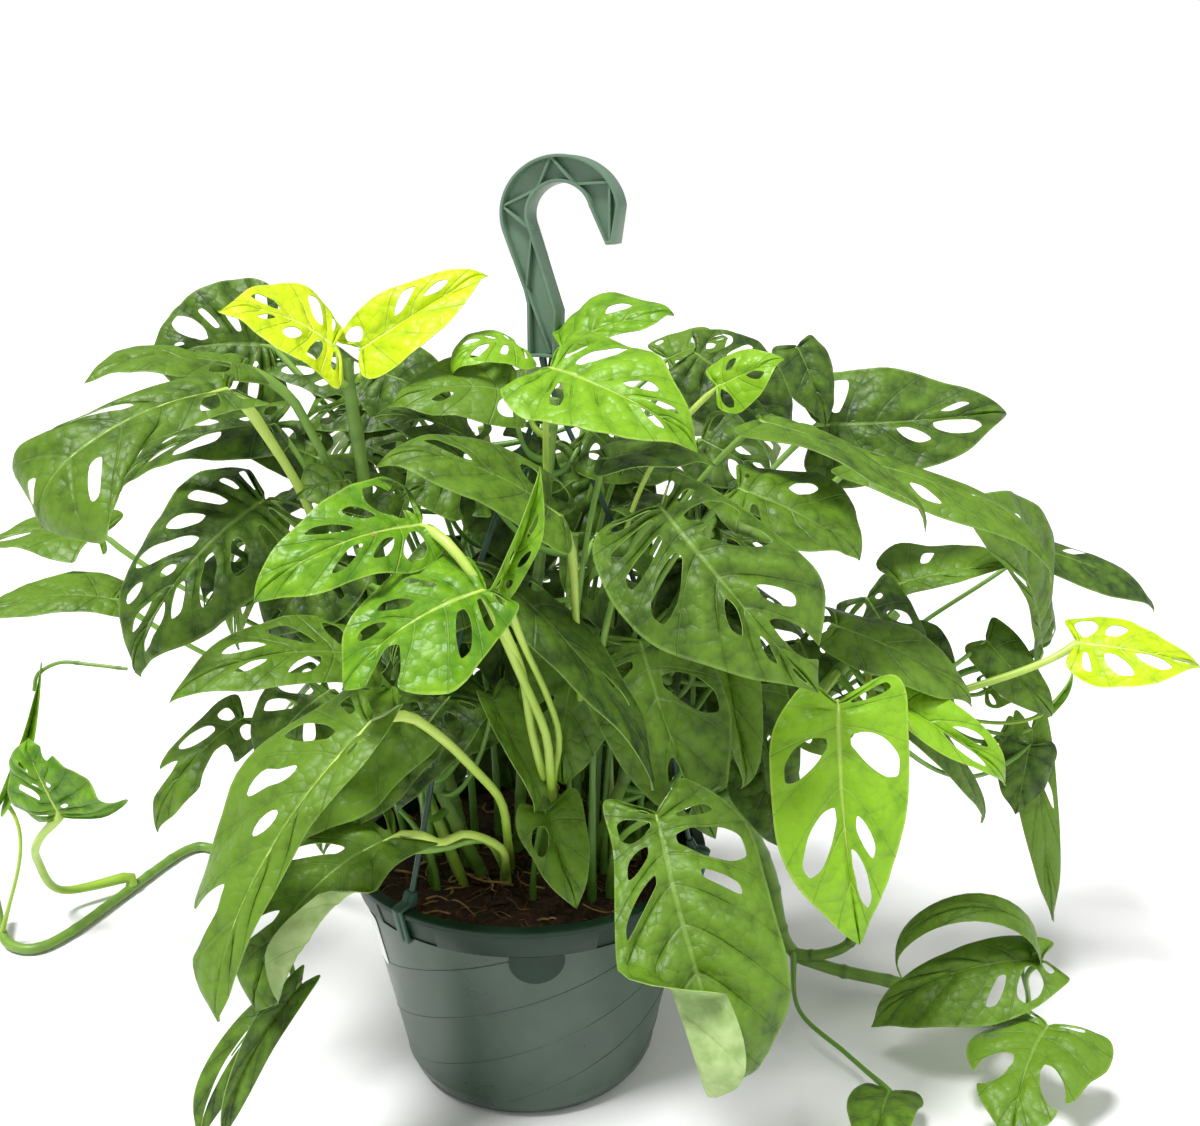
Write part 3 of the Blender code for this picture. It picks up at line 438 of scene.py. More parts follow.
grow("left_dark_narrow", (-180, 30, 395), (-206, 28, 300), (-0.3, -0.9, 0.3), 36, ("inner_left", 0.8, -0.7,
     0.7, 0.2))
grow("rear_left_inner", (-85, 35, 482), (-152, 25, 455), (-0.2, -0.5, 0.8), 70, ("inner_back", 0.85, -0.8,
     -0.5, 0.2))
grow("left_rear_mid", (-77, -50, 335), (-156, -72, 368), (-0.2, -0.8, 0.5), 84, ("inner_left", 0.7, -0.9,
     -0.3, 0.2), ".bl.b. .lb.l.", shade=0.1)
grow("inner_left_a", (-31, -60, 388), (-77, -80, 325), (-0.3, -0.8, 0.5), 66, ("inner_left", 0.9, 0.3,
     -0.9, 0.2), shade=0.1)
grow("inner_mid_a", (-3, 10, 360), (-16, -14, 280), (0.1, -0.9, 0.3), 70, ("inner_middle", 0.7, -0.8, 0.5,
     0.2), shade=0.0)
grow("inner_left_b", (-45, -70, 300), (-78, -98, 232), (-0.3, -0.8, 0.4), 66, ("inner_left", 0.5, 0.4,
     -0.9, 0.2), shade=0.0)
grow("inner_mid_b", (51, -20, 396), (78, -40, 322), (0.1, -0.9, 0.4), 66, ("inner_middle", 0.9, 0.4, -0.8,
     0.2), shade=0.1)
grow("inner_right_a", (146, -30, 300), (176, -52, 216), (0.2, -0.9, 0.4), 60, ("inner_right", 0.6, 0.9,
     0.2, 0.2), shade=0.1)
grow("inner_left_c", (-70, -20, 424), (-148, -26, 428), (-0.1, -0.6, 0.8), 64, ("inner_left", 0.95, -0.5,
     0.8, 0.2), shade=0.1)
grow("inner_left_d", (-30, 0, 452), (-98, -4, 470), (-0.1, -0.6, 0.8), 56, ("inner_back", 0.8, -0.3, -0.9,
     0.2), shade=0.0)
grow("rear_left_dark", (-118, 60, 484), (-190, 60, 494), (-0.1, -0.5, 0.8), 56, ("inner_back", 0.9, -0.9,
     0.2, 0.2), shade=0.0)
grow("rear_mid_dark", (-84, 64, 450), (-140, 60, 462), (-0.1, -0.7, 0.7), 56, ("inner_back", 0.7, -0.9,
     -0.3, 0.2), shade=0.0)
grow("left_low_dark", (-140, 16, 440), (-214, 16, 446), (-0.1, -0.5, 0.8), 56, ("inner_left", 0.9, -0.9,
     0.3, 0.2), shade=0.0)
grow("inner_left_e", (-105, -50, 262), (-130, -76, 192), (-0.4, -0.8, 0.3), 56, ("inner_left", 0.4, -0.8,
     -0.6, 0.2), shade=0.1)
grow("inner_right_b", (120, 10, 330), (166, -10, 250), (0.2, -0.9, 0.4), 66, ("inner_right", 0.75, 0.9,
     0.4, 0.2), shade=0.1)
grow("trail_right_lobe", (363, -28, 94), (269, -20, 67), (0, -0.35, 0.95), 26, ("trail_right", 0.985, 0.8,
     -0.2, 0.6), solid, arch=185, curl=10, twist=0)
grow("curled_low", (-18, -70, 299), (8, -84, 223), (0.8, -0.6, 0.2), 38, ("inner_left", 0.3, 0.5, -0.8,
     0.2), solid, shade=0.5, twist=20, fold=30, wave=6)
grow("dark_round", (-24, -40, 294), (-46, -56, 249), (-0.3, -0.9, 0.3), 56, ("inner_left", 0.35, 0.2, -0.9,
     0.2), solid, shade=0.1)
grow("dark_low_left", (-70, -100, 295), (-100, -128, 233), (-0.4, -0.85, 0.3), 66, ("inner_left", 0.25,
     -0.6, -0.8, 0.2), "...... ..b...", shade=0.35)
grow("torn_dark", (25, -40, 345), (6, -58, 301), (-0.1, -0.95, 0.3), 52, ("inner_middle", 0.8, 0.2, -0.9,
     0.2), ".t.t.. ..n...", shade=0.15)
grow("behind_big", (66, -30, 334), (102, -44, 288), (0.1, -0.95, 0.3), 64, ("inner_right", 0.6, -0.3, -0.9,
     0.2), shade=0.1)
grow("small_round", (-110, -44, 436), (-138, -56, 426), (-0.2, -0.6, 0.8), 44, ("inner_left", 0.98, -0.6,
     0.6, 0.2), solid, shade=0.3)
grow("dark_crown_a", (-115, 10, 454), (-69, -6, 436), (0.1, -0.8, 0.6), 56, ("inner_left", 0.97, 0.3, 0.9,
     0.2), shade=0.1)
grow("dark_crown_b", (-98, 30, 497), (-48, 20, 478), (0.1, -0.8, 0.6), 62, ("inner_back", 0.95, -0.7, -0.6,
     0.2), "...... ..s...", shade=0.1)
grow("dark_crown_c", (-31, -40, 436), (-72, -60, 427), (-0.1, -0.75, 0.65), 64, ("inner_middle", 0.95,
     -0.8, -0.3, 0.2), ".ls... ..b...", shade=0.2)
grow("dark_crown_d", (-28, -30, 353), (-66, -50, 332), (-0.2, -0.85, 0.5), 60, ("inner_left", 0.7, 0.6,
     -0.5, 0.2), shade=0.05)
grow("dark_right_a", (117, -20, 405), (162, -36, 382), (0.2, -0.75, 0.6), 60, ("inner_right", 0.97, 0.7,
     0.5, 0.2), shade=0.1)
grow("dark_right_b", (238, 20, 341), (277, 6, 277), (0.2, -0.9, 0.4), 60, ("right", 0.7, 0.5, 0.8, 0.2),
     shade=0.05)
grow("dark_right_c", (189, 0, 316), (225, -12, 246), (0.1, -0.95, 0.3), 64, ("right", 0.5, 0.3, 0.9, 0.2),
     shade=0.05)
grow("dark_right_d", (119, 10, 454), (165, 0, 428), (0.2, -0.75, 0.6), 60, ("inner_right", 0.99, 0.5, 0.8,
     0.2), shade=0.1)
grow("dark_right_e", (161, -30, 240), (178, -44, 180), (0.1, -0.95, 0.3), 50, ("right", 0.3, 0.2, -0.9,
     0.2), solid, shade=0.1)
grow("dark_mid_a", (25, 0, 455), (-14, -16, 418), (-0.1, -0.85, 0.5), 64, ("crown_centre", 0.8, -0.7, 0.6,
     0.2), shade=0.1)
grow("dark_mid_b", (45, 0, 462), (84, -12, 430), (0.1, -0.85, 0.5), 60, ("crown_centre", 0.85, 0.8, 0.4,
     0.2), shade=0.1)
grow("dark_left_a", (-178, 0, 373), (-214, -16, 342), (-0.3, -0.85, 0.4), 56, ("inner_left", 0.8, -0.8,
     0.5, 0.2), shade=0.05)
grow("dark_left_b", (-119, -60, 388), (-155, -80, 342), (-0.3, -0.85, 0.4), 72, ("inner_left", 0.85, -0.7,
     -0.5, 0.2), "...... ..s...", shade=0.15)
grow("dark_left_c", (-117, -90, 312), (-157, -110, 267), (-0.3, -0.85, 0.4), 66, ("inner_left", 0.5, -0.7,
     -0.7, 0.2), ".lbl.. .b.l..", shade=0.2)
grow("rim_left_tail", (-126, -172, 157), (-173, -186, 60), (-0.2, -0.9, 0.3), 22, (-14, -37), solid,
     via=[(-23, -88, 208), (-50, -100, 208), (-79, -112, 210), (-116, -132, 196), (-135, -156, 167)],
     shade=0.3, twist=70, fold=42, wave=5)
# Real leaves deep in the crown, set in the darkest leaf tone as partly painted shade that darkens the view
# between the stems: joint, tip, width and sideways lean
darkBack = (((-60, 70, 254), (-72, 62, 167), 70), ((-16, 84, 257), (-12, 76, 168), 74), ((44, 80, 251),
            (51, 72, 162), 72), ((89, 70, 246), (84, 62, 158), 70), ((125, 50, 261), (135, 42, 176), 64),
            ((-76, 84, 321), (-93, 76, 234), 76), ((21, 96, 317), (27, 88, 230), 80), ((82, 90, 327), (94,
            82, 240), 76))
for k, (joint, tip, width) in enumerate(darkBack):
    grow("dark_back_" + "abcdefgh"[k], joint, tip, (round(0.02 * k - 0.06, 2), -0.97, 0.15), width,
         ("inner_back", round(0.25 + 0.05 * k, 2), round(0.1 * k - 0.3, 2), -0.9, 0.2), solid, shade=0.0,
         columns=10)
darkDeep = (((-43, 60, 358), (-15, 52, 269), 96, 0.4), ((-91, 50, 330), (-97, 42, 244), 90, -0.06), ((-5,
            50, 426), (8, 42, 348), 90, 0.2), ((-145, 60, 358), (-169, 52, 284), 90, -0.3), ((51, 70, 422),
            (66, 62, 350), 84, 0.2), ((124, 60, 358), (147, 52, 276), 84, 0.3))
for k, (joint, tip, width, lean) in enumerate(darkDeep):
    grow("dark_deep_" + "abcdef"[k], joint, tip, (lean, -0.95, 0.25), width,
         ("inner_back", round(0.5 + 0.05 * k, 2), 2 * lean, -0.9, 0.2), solid, shade=0.0, columns=10)
grow("right_round_a", (336, 60, 297), (387, 52, 240), (0.2, -0.85, 0.4), 44, ("right", 0.95, 0.6, -0.5,
     0.2), solid, shade=0.3)
grow("right_round_b", (379, 70, 210), (369, 60, 157), (0.1, -0.9, 0.35), 46, ("right", 0.9, 0.6, -0.5,
     0.2), solid, shade=0.15)
grow("right_round_c", (277, 60, 297), (311, 52, 253), (0.1, -0.9, 0.35), 52, ("right", 0.8, 0.6, 0.5, 0.2),
     solid, shade=0.05)

soilTop = 152

# Leaf blade: outline shares of the half width and of the length at even steps from joint to tip
bladeShape = dict(
    jointShare=0.12, marginSide=(0.76, 1.0, 0.92, 0.61, 0.22),
    marginAlong=(-0.03, -0.09, 0.12, 0.43, 0.70, 0.88, 1.0),
    midribAlong=(0.0, 0.01, 0.07, 0.20, 0.39, 0.64, 1.0), columns=16, strips=3, veinSpacing=11.5,
    veinBow=1.35, thickness=0.5, arch=40, curlStart=0.6, sway=0.04, droop=0.22, quilt=2.8, wave=4.4,
    ripples=((30, 4.0), (12, 1.4)), ragged=((7, 0.05), (19, 0.035)), mapRows=10, leastHeight=0.9)
petioleShape = dict(radius=2.0, sheath=0.55, joint=0.25, sides=2, midribRadius=1.0)
# Window kinds: centre and half width across the half blade, half height in gaps between two lateral veins
windowKinds = dict(s=(0.48, 0.30, 0.18), l=(0.51, 0.35, 0.28), m=(0.46, 0.24, 0.30), i=(0.28, 0.13, 0.24),
                   o=(0.70, 0.16, 0.30), b=(0.53, 0.36, 0.44), t=(0.86, 0.54, 0.40), n=(1.0, 0.28, 0.45))
windowMix = dict(letters="lmsibot.", weights=(6, 4, 3, 1.5, 4, 1, 0.6, 2.5), spare="slmi..")


def throughKnots(knots, share):
    fine = smoothLine([(i / (len(knots) - 1), value, 0) for i, value in enumerate(knots)], 200)
    return np.interp(share, fine[:, 0], fine[:, 1])


def bladeFrame(leaf):
    joint = np.array(leaf["joint"], float)
    chord = np.array(leaf["tip"], float) - joint
    ahead = unit(chord)
    face = np.array(leaf["face"], float)
    face = unit(face - ahead * face.dot(ahead))
    return joint, ahead, face, np.cross(ahead, face), np.linalg.norm(chord)


def bladeCentre(leaf):  # the midrib's curve in the plane of ahead and face: shares, place, turn, length
    chord = bladeFrame(leaf)[4]
    arch, curl = math.radians(leaf["arch"]), math.radians(leaf["curl"])
    shares = np.linspace(0, 1, 41)
    start = bladeShape["curlStart"]
    turn = -(arch * shares + curl * np.clip(shares - start, 0, 1) ** 2 / (1 - start) ** 2)
    steps = np.stack([np.cos(turn), np.sin(turn)], axis=1)
    line = np.vstack([[0, 0], np.cumsum((steps[1:] + steps[:-1]) / 80, axis=0)])
    reach, tilt = np.hypot(*line[-1]), math.atan2(line[-1, 1], line[-1, 0])
    length = chord / reach
    spin = np.array([[math.cos(tilt), -math.sin(tilt)], [math.sin(tilt), math.cos(tilt)]])
    return shares, line @ spin * length, turn - tilt, length


def crossSection(leaf, across, share):  # how far out and how high a point lies on the folded and rolled half
    half = leaf["width"] / 2
    left = (across > 0)[:, None]
    reach = np.abs(across)[:, None] * (np.arange(14) + 0.5)[None] / 14
    turn = math.radians(leaf["fold"]) - 2 * leaf["droop"] * reach / half
    for side, start, end, crease, angle in leaf["rolls"]:  # shares of the length, share across, degrees
        along = np.clip((share - start) * 6, 0, 1) * np.clip((end - share) * 6 + 1, 0, 1)
        rolled = np.clip((reach / half - crease) * 5, 0, 1) * along[:, None]
        turn = turn + np.where(left if side == "left" else ~left, math.radians(angle) * rolled, 0)
    return across * np.cos(turn).mean(axis=1), np.abs(across) * np.sin(turn).mean(axis=1)


def bladePoints(leaf, across, share, height):
    joint, ahead, face, side, chord = bladeFrame(leaf)
    shares, line, turns, length = bladeCentre(leaf)
    turn = np.interp(share, shares, turns)
    forward = np.interp(share, shares, line[:, 0]) + np.minimum(share, 0) * length * math.cos(turns[0])
    lift = np.interp(share, shares, line[:, 1]) + np.minimum(share, 0) * length * math.sin(turns[0])
    spread, rise = crossSection(leaf, across, share)
    height = height + rise
    twist = np.radians(leaf["twist"]) * np.clip(share, 0, 1)
    spread, height = (spread * np.cos(twist) - height * np.sin(twist),
                      spread * np.sin(twist) + height * np.cos(twist))
    spread = spread + leaf["sway"] * length * 4 * share * (1 - share)
    forward = forward - height * np.sin(turn)
    lift = lift + height * np.cos(turn)
    return joint + np.outer(forward, ahead) + np.outer(lift, face) + np.outer(spread, side)


def bladeWindows(leaf, draw):  # left is the left half of a leaf that hangs tip down and faces the viewer
    windows = []
    for side, name in ((1, "left"), (-1, "right")):
        codes = leaf.get(name)
        if codes is None:
            letters = draw.choices(windowMix["letters"], windowMix["weights"], k=leaf["veins"] - 2)
            codes = "." + "".join(letters)
        gaps = {int((k + 0.5) * leaf["veins"] / len(codes)): code for k, code in enumerate(codes)}
        if codes.strip("."):  # small slots between the ones that are set out
            gaps = {**{k: draw.choice(windowMix["spare"]) for k in range(2, leaf["veins"] - 1)}, **gaps}
        for k, code in sorted(gaps.items()):
            for letter in {"w": "io", ".": ""}.get(code, code):
                centre, half, tall = windowKinds[letter]
                windows.append((side * (centre + draw.uniform(-0.04, 0.04)), k + 0.5,
                                half * draw.uniform(0.85, 1.1), tall * draw.uniform(0.85, 1.1)))
    if "slit" in leaf:  # a tear along the midrib from the tip
        windows.append((0.0, leaf["veins"], 0.16, leaf["slit"] * leaf["veins"]))
    return windows


def cutWindow(blade, leaf, window):  # takes the faces inside an oval away and draws the rim onto the oval
    cell = np.array([2 / leaf["columns"], 1 / leaf["strips"]])
    centre = np.array(window[:2])
    centre[0] = round(centre[0] / cell[0]) * cell[0]
    size = np.maximum(window[2:], 0.5 * cell)
    activate(blade)
    bpy.ops.object.mode_set(mode="EDIT")
    bpy.ops.mesh.select_mode(type="FACE")
    bpy.ops.mesh.select_all(action="DESELECT")
    data = bmesh.from_edit_mesh(blade.data)
    for face in data.faces:
        middle = face.calc_center_median()
        offset = (np.array([2 * middle.x, (middle.y + 0.5) * leaf["veins"]]) - centre) / size
        face.select = offset.dot(offset) < 1.0 or all(abs(offset * size) < 0.55 * cell)
    rim = [v for v in data.verts if len({face.select for face in v.link_faces}) == 2]
    for corner in rim:
        spot = np.array([2 * corner.co.x, (corner.co.y + 0.5) * leaf["veins"]])
        spot = centre + (spot - centre) / max(np.linalg.norm((spot - centre) / size), 0.5)
        corner.co.x = np.clip(spot[0], -1, 1) / 2
        corner.co.y = np.clip(spot[1], 0, leaf["veins"]) / leaf["veins"] - 0.5
    bmesh.update_edit_mesh(blade.data)
    bpy.ops.mesh.delete(type="FACE")
    bpy.ops.object.mode_set(mode="OBJECT")


def addBlade(name, leaf, draw, skins):
    bpy.ops.mesh.primitive_grid_add(
        x_subdivisions=leaf["columns"], y_subdivisions=leaf["strips"] * leaf["veins"], size=1)
    blade = bpy.context.object
    blade.name = name
    for skin in skins:
        blade.data.materials.append(skin)
    for window in bladeWindows(leaf, draw):
        cutWindow(blade, leaf, window)
    modify(blade, "SUBSURF", levels=1)
    bendBlade(blade, leaf, draw)
    editWhole(("remove_doubles", dict(threshold=0.00003)))
    modify(blade, "SOLIDIFY", thickness=mm * bladeShape["thickness"], offset=-1, material_offset=1,
           material_offset_rim=2)
    return blade


def bendBlade(blade, leaf, draw):  # gives the flat sheet its outline, waves and bend, and its map of veins
    shape = bladeShape
    veins, half = leaf["veins"], leaf["width"] / 2
    mesh = blade.data
    flat = np.zeros(len(mesh.vertices) * 3)
    mesh.vertices.foreach_get("co", flat)
    flat = flat.reshape(-1, 3)
    side = np.sign(flat[:, 0])
    across, row = np.clip(2 * np.abs(flat[:, 0]), 0, 1), np.clip((flat[:, 1] + 0.5) * veins, 0, veins)
    share = row / veins
    pulse = [draw.uniform(0, 6.3) for k in range(6)]
    ragged = 1 + sum(depth * np.sin(pace * share + pulse[k] + (k + 1) * side)
                     for k, (pace, depth) in enumerate(shape["ragged"]))
    outline = [throughKnots((shape["jointShare"], *leaf.get(key, leaf["rim"]), 0.0), share)
               for key in ("rimLeft", "rimRight")]
    bow = across ** shape["veinBow"]
    midribAlong, marginAlong = (throughKnots(shape[key], share) for key in ("midribAlong", "marginAlong"))
    along = midribAlong * (1 - bow) + marginAlong * bow
    width = side * across * half * (np.where(side > 0, *outline) * ragged)
    reach = np.abs(width) / half
    scale = half / 45
    wave = leaf["wave"] * scale * reach ** 2 * np.sin(
        np.pi * row * draw.uniform(0.5, 0.8) + np.where(side > 0, pulse[2], pulse[3]))
    quilt = leaf["quilt"] * scale * np.abs(np.sin(np.pi * row)) ** 0.75 * np.clip(
        4 * across, 0, 1) * (1 - across ** 3)
    spots = np.stack([width, along * 1.4 * leaf["width"], np.full(len(row), 40 * pulse[4])], axis=1)
    ripple = sum(depth * np.array([noise.noise(spot / size) for spot in spots])
                 for size, depth in shape["ripples"])
    places = bladePoints(leaf, width, along, wave + quilt + ripple * np.clip(3 * across, 0, 1))
    places[:, 2] = np.maximum(places[:, 2], shape["leastHeight"])
    mesh.vertices.foreach_set("co", (mm * places).ravel())
    layer = mesh.uv_layers[0]
    layer.name = "bladeMap"
    loops = np.zeros(len(mesh.loops), int)
    mesh.loops.foreach_get("vertex_index", loops)
    chart = np.stack([0.5 + 0.5 * side * across, row / shape["mapRows"]], axis=1)
    layer.data.foreach_set("uv", chart[loops].ravel())
    activate(blade)


def stemRoute(name, count):
    radius, points = stems[name]
    return radius, smoothLine(points, count)


def petioleRoute(leaf, count):
    joint = np.array(leaf["joint"], float)
    foot = leaf["foot"]
    if isinstance(foot[0], str):  # a stem, the share of its length, and the way out of it
        radius, route = stemRoute(foot[0], 60)
        index = foot[1] * (len(route) - 1)
        near = int(min(index, len(route) - 2))
        onAxis = route[near] + (route[near + 1] - route[near]) * (index - near)
        along = unit(route[near + 1] - route[near])
        startWay = np.array(foot[2:], float)
        startWay = unit(startWay - along * startWay.dot(along))
        start = onAxis + startWay * radius * 0.5
    else:  # a place on the soil
        start, startWay = np.array([*foot, soilTop - 2], float), np.array([0.0, 0.0, 1.0])
    if "via" in leaf:
        return smoothLine([start, start + 8 * startWay, *leaf["via"], joint], count)
    outward = unit([joint[0] - 0.3 * start[0], joint[1] - 0.3 * start[1], 0])
    arrive = unit(leaf.get("arrive", 0.75 * outward + np.array([0, 0, 0.65])))
    reach = np.linalg.norm(joint - start)
    lift, lead = start + startWay * 0.42 * reach, joint - arrive * 0.34 * reach
    t = np.linspace(0, 1, 40)[:, None]
    return smoothLine((1 - t) ** 3 * start + 3 * (1 - t) ** 2 * t * lift + 3 * (1 - t) * t ** 2 * lead
                      + t ** 3 * joint, count)


def addPetiole(name, leaf):  # one tube for the petiole and the midrib that it runs on into
    shape = petioleShape
    radius = shape["radius"] * (0.7 + 0.3 * min(leaf["width"], 100) / 80) * leaf.get("stalkSize", 1)
    route = petioleRoute(leaf, 22)
    shares = np.array([0.05, 0.13, 0.24, 0.38, 0.54, 0.7, 0.84]) * min(1, 1.1 - leaf.get("slit", 0.1))
    midrib = bladePoints(leaf, 0 * shares, shares, 0 * shares - 0.9 * (1 - shares) - 0.25)
    t = np.linspace(0, 1, len(route))
    stalk = radius * (1 + shape["sheath"] * np.clip(1 - 3.5 * t, 0, 1) + shape["joint"] * np.exp(
        -((t - 0.95) / 0.05) ** 2))
    rib = shape["midribRadius"] * radius / shape["radius"] * (1 - 0.85 * shares)
    points = smoothLine(np.vstack([route, midrib]), 44)
    travel = np.linalg.norm(np.diff(points, axis=0), axis=1).sum()
    marks = np.linspace(0, 1, len(points))
    split = 1 - bladeCentre(leaf)[3] * shares[-1] / travel
    radii = np.where(marks < split, np.interp(marks / split, t, stalk),
                     np.interp((marks - split) / (1 - split) * shares[-1], shares, rib))
    points[:, 2] = np.maximum(points[:, 2], radii + 0.2)
    return tubePiece(name, points, radii, shape["sides"])


def ageSurface(item, values):  # a shade on every point, which a material reads
    layer = item.data.attributes.new("shade", "FLOAT", "POINT")
    layer.data.foreach_set("value", np.array(values, dtype=np.float32))


def addLeaf(name, leaf):
    draw = random.Random(name)
    shape = bladeShape
    own = dict(twist=draw.uniform(-14, 14), curl=draw.uniform(10, 45), fold=draw.uniform(2, 12),
               tone="mature", rolls=(), rim=shape["marginSide"],
               veins=min(9, max(5, round(leaf["width"] / shape["veinSpacing"]))))
    usual = {key: shape[key] for key in ("columns", "strips", "quilt", "wave", "sway", "droop", "arch")}
    leaf = {**usual, **own, **leaf}
    age = leaf.get("shade", draw.random())
    tone = leaf["tone"]
    skins = finishes["upper"][tone], finishes["under"][tone], finishes["edge"]
    blade = addBlade(name + "_blade", leaf, draw, skins)
    ageSurface(blade, [age] * len(blade.data.vertices))
    petiole = addPetiole(name + "_petiole", leaf)
    heights = np.array([corner.co.z for corner in petiole.data.vertices])
    ageSurface(petiole, 0.3 + 0.5 * (heights - heights.min()) / max(np.ptp(heights), 1e-6))
    stalk = leaf.get("stalk", "mature" if tone == "mature" else "pale")
    petiole.data.materials.append(finishes["stalk"][stalk])
    joinPieces(blade, [petiole])
    blade.name = blade.data.name = name + "_fine"
    finishPiece(blade, name if name in frame["nodes"] else None, crease=55)


# Finishes. Every pattern scale is one over a real size in metres
leafLooks = dict(
    mature=dict(dark="#18310a", light="#608420", vein="#86a650", pale=("#84a05c", "#aabf80"), roughness=0.42,
                veinShow=0.16, ribShow=0.45),
    young=dict(dark="#3f740c", light="#80b01e", vein="#b3cf62", pale=("#93b25a", "#b2ca7c"), roughness=0.36,
               veinShow=0.2, ribShow=0.7),
    new=dict(dark="#8fb80a", light="#c6dc14", vein="#e2ee80", pale=("#a9c640", "#c6da66"), roughness=0.4,
             veinShow=0.2, ribShow=0.8))
# blisterPaintedShade darkens the leaf tone in the creases between the raised blisters: painted shade
leafDetail = dict(tint=0.075, mottle=0.013, scar=0.02, nick="#a58a4c", rimShow=0.3, veinWide=0.075,
                  veinFine=0.02, veinDip=-0.55, bump=0.9, blister=0.0065, blisterRise=-1.2,
                  blisterPaintedShade=-0.18)


def dressSurface(tree, base, roughness, height, strength, depth, optics):  # relief, shader and output
    bump = addNode(tree, "Bump", {"Height": height, "Strength": strength, "Distance": depth})
    surface = addNode(tree, "BsdfPrincipled", {
        "Base Color": base, "Roughness": roughness, "Normal": bump, **optics})
    addNode(tree, "OutputMaterial", {"Surface": surface})


def veinMasks(tree):  # side veins, midrib, margin and the gap between veins, read from the blade's own map
    chart = addNode(tree, "UVMap", {}, dict(uv_map="bladeMap"), "UV")
    split = addNode(tree, "SeparateXYZ", {0: chart}).node
    signed = addNode(tree, "Math", {0: split.outputs[0], 1: 2.0, 2: -1.0}, scaled)
    across = addNode(tree, "Math", {0: signed}, absolute)
    row = addNode(tree, "Math", {0: split.outputs[1], 1: float(bladeShape["mapRows"])}, times)
    gap = addNode(tree, "Math", {0: row, 1: 0.5}, zigzag)
    width = addNode(tree, "MapRange", {0: across, 3: leafDetail["veinWide"], 4: leafDetail["veinFine"]})
    lateral, midrib, margin = [
        addNode(tree, "MapRange", {0: place, 1: start, 2: end, 3: near, 4: 1.0 - near}, smooth)
        for place, start, end, near in (
            (gap, 0.0, width, 1.0), (across, 0.012, 0.05, 1.0), (across, 0.96, 0.985, 0.0))]
    return lateral, midrib, margin, gap


def leafUpper(tone):  # waxy skin over soft tissue: broad satin highlights, side veins a little sunk
    look, detail = leafLooks[tone], leafDetail
    material, tree = newMaterial(tone + "WaxyLeafFace")
    coords = addNode(tree, "TexCoord", {}, output="Object")
    lateral, midrib, margin, gap = veinMasks(tree)
    tint, mottle, scar = [
        addNode(tree, "TexNoise", {"Vector": coords, "Scale": 1 / detail[name], "Detail": fine,
                                   "Roughness": rough})
        for name, fine, rough in (("tint", 2.0, 0.5), ("mottle", 5.0, 0.65), ("scar", 3.0, 0.5))]
    age = addNode(tree, "Attribute", {}, dict(attribute_name="shade"), "Fac")
    puffs = addNode(tree, "TexVoronoi", {"Vector": coords, "Scale": 1 / detail["blister"]}, {}, "Distance")
    puffs = addNode(tree, "Math", {0: puffs, 1: puffs}, times)
    # Leaf tone from random tint and mottle and the leaf's own shade value, plus painted shade: the gap term
    # darkens along the sunk side veins and lightens midway between them, and the blister term darkens the
    # creases between blisters
    amount = -0.35
    weights = ((tint, 0.7), (puffs, detail["blisterPaintedShade"]), (mottle, 0.9), (age, 0.55), (gap, 0.4))
    for part, weight in weights:
        amount = addNode(tree, "Math", {0: part, 1: weight, 2: amount}, scaled)
    share = addNode(tree, "MapRange", {0: amount, 1: 0.12, 2: 1.05}, smooth)
    scarred = addNode(tree, "MapRange", {0: scar, 1: 0.76, 2: 0.8, 4: 0.8}, smooth)  # a few dry nicks
    base = addNode(tree, "Mix", {0: share, 6: look["dark"], 7: look["light"]}, colours, 2)
    vein = look["vein"]
    for mask, weight, colour in ((lateral, look["veinShow"], vein), (midrib, look["ribShow"], vein),
                                 (margin, detail["rimShow"], vein), (scarred, 1.0, detail["nick"])):
        shown = addNode(tree, "Math", {0: mask, 1: weight}, times)
        base = addNode(tree, "Mix", {0: shown, 6: base, 7: colour}, colours, 2)
    gloss = addNode(tree, "MapRange", {0: mottle, 1: 0.3, 2: 0.7, 3: look["roughness"] - 0.05,
                                       4: look["roughness"] + 0.1})
    sunk = addNode(tree, "Math", {0: lateral, 1: midrib}, greater)
    relief = addNode(tree, "Math", {0: sunk, 1: detail["veinDip"], 2: mottle}, scaled)
    relief = addNode(tree, "Math", {0: puffs, 1: detail["blisterRise"], 2: relief}, scaled)
    dressSurface(tree, base, gloss, relief, detail["bump"], 0.001, {"IOR": 1.42, "Specular IOR Level": 0.4})
    return material


def leafUnder(tone):  # no wax below: paler, matt, with raised veins
    look = leafLooks[tone]
    material, tree = newMaterial(tone + "MattLeafBack")
    coords = addNode(tree, "TexCoord", {}, output="Object")
    lateral, midrib, margin, gap = veinMasks(tree)
    mottle = addNode(tree, "TexNoise", {"Vector": coords, "Scale": 1 / leafDetail["mottle"], "Detail": 4.0})
    share = addNode(tree, "MapRange", {0: mottle, 1: 0.3, 2: 0.7}, smooth)
    base = addNode(tree, "Mix", {0: share, 6: look["pale"][0], 7: look["pale"][1]}, colours, 2)
    raised = addNode(tree, "Math", {0: lateral, 1: midrib}, greater)
    veined = addNode(tree, "Math", {0: raised, 1: 0.4}, times)
    base = addNode(tree, "Mix", {0: veined, 6: base, 7: look["vein"]}, colours, 2)
    relief = addNode(tree, "Math", {0: raised, 1: 0.5, 2: mottle}, scaled)
    dressSurface(tree, base, 0.6, relief, 0.4, 0.001, {"IOR": 1.4})
    return material


def threeShades(tree, shades, amount, spans):  # the first shade turns to the second, then the third
    base = shades[0]
    for colour, (start, end) in zip(shades[1:], spans):
        share = addNode(tree, "MapRange", {0: amount, 1: start, 2: end})
        base = addNode(tree, "Mix", {0: share, 6: base, 7: colour}, colours, 2)
    return base


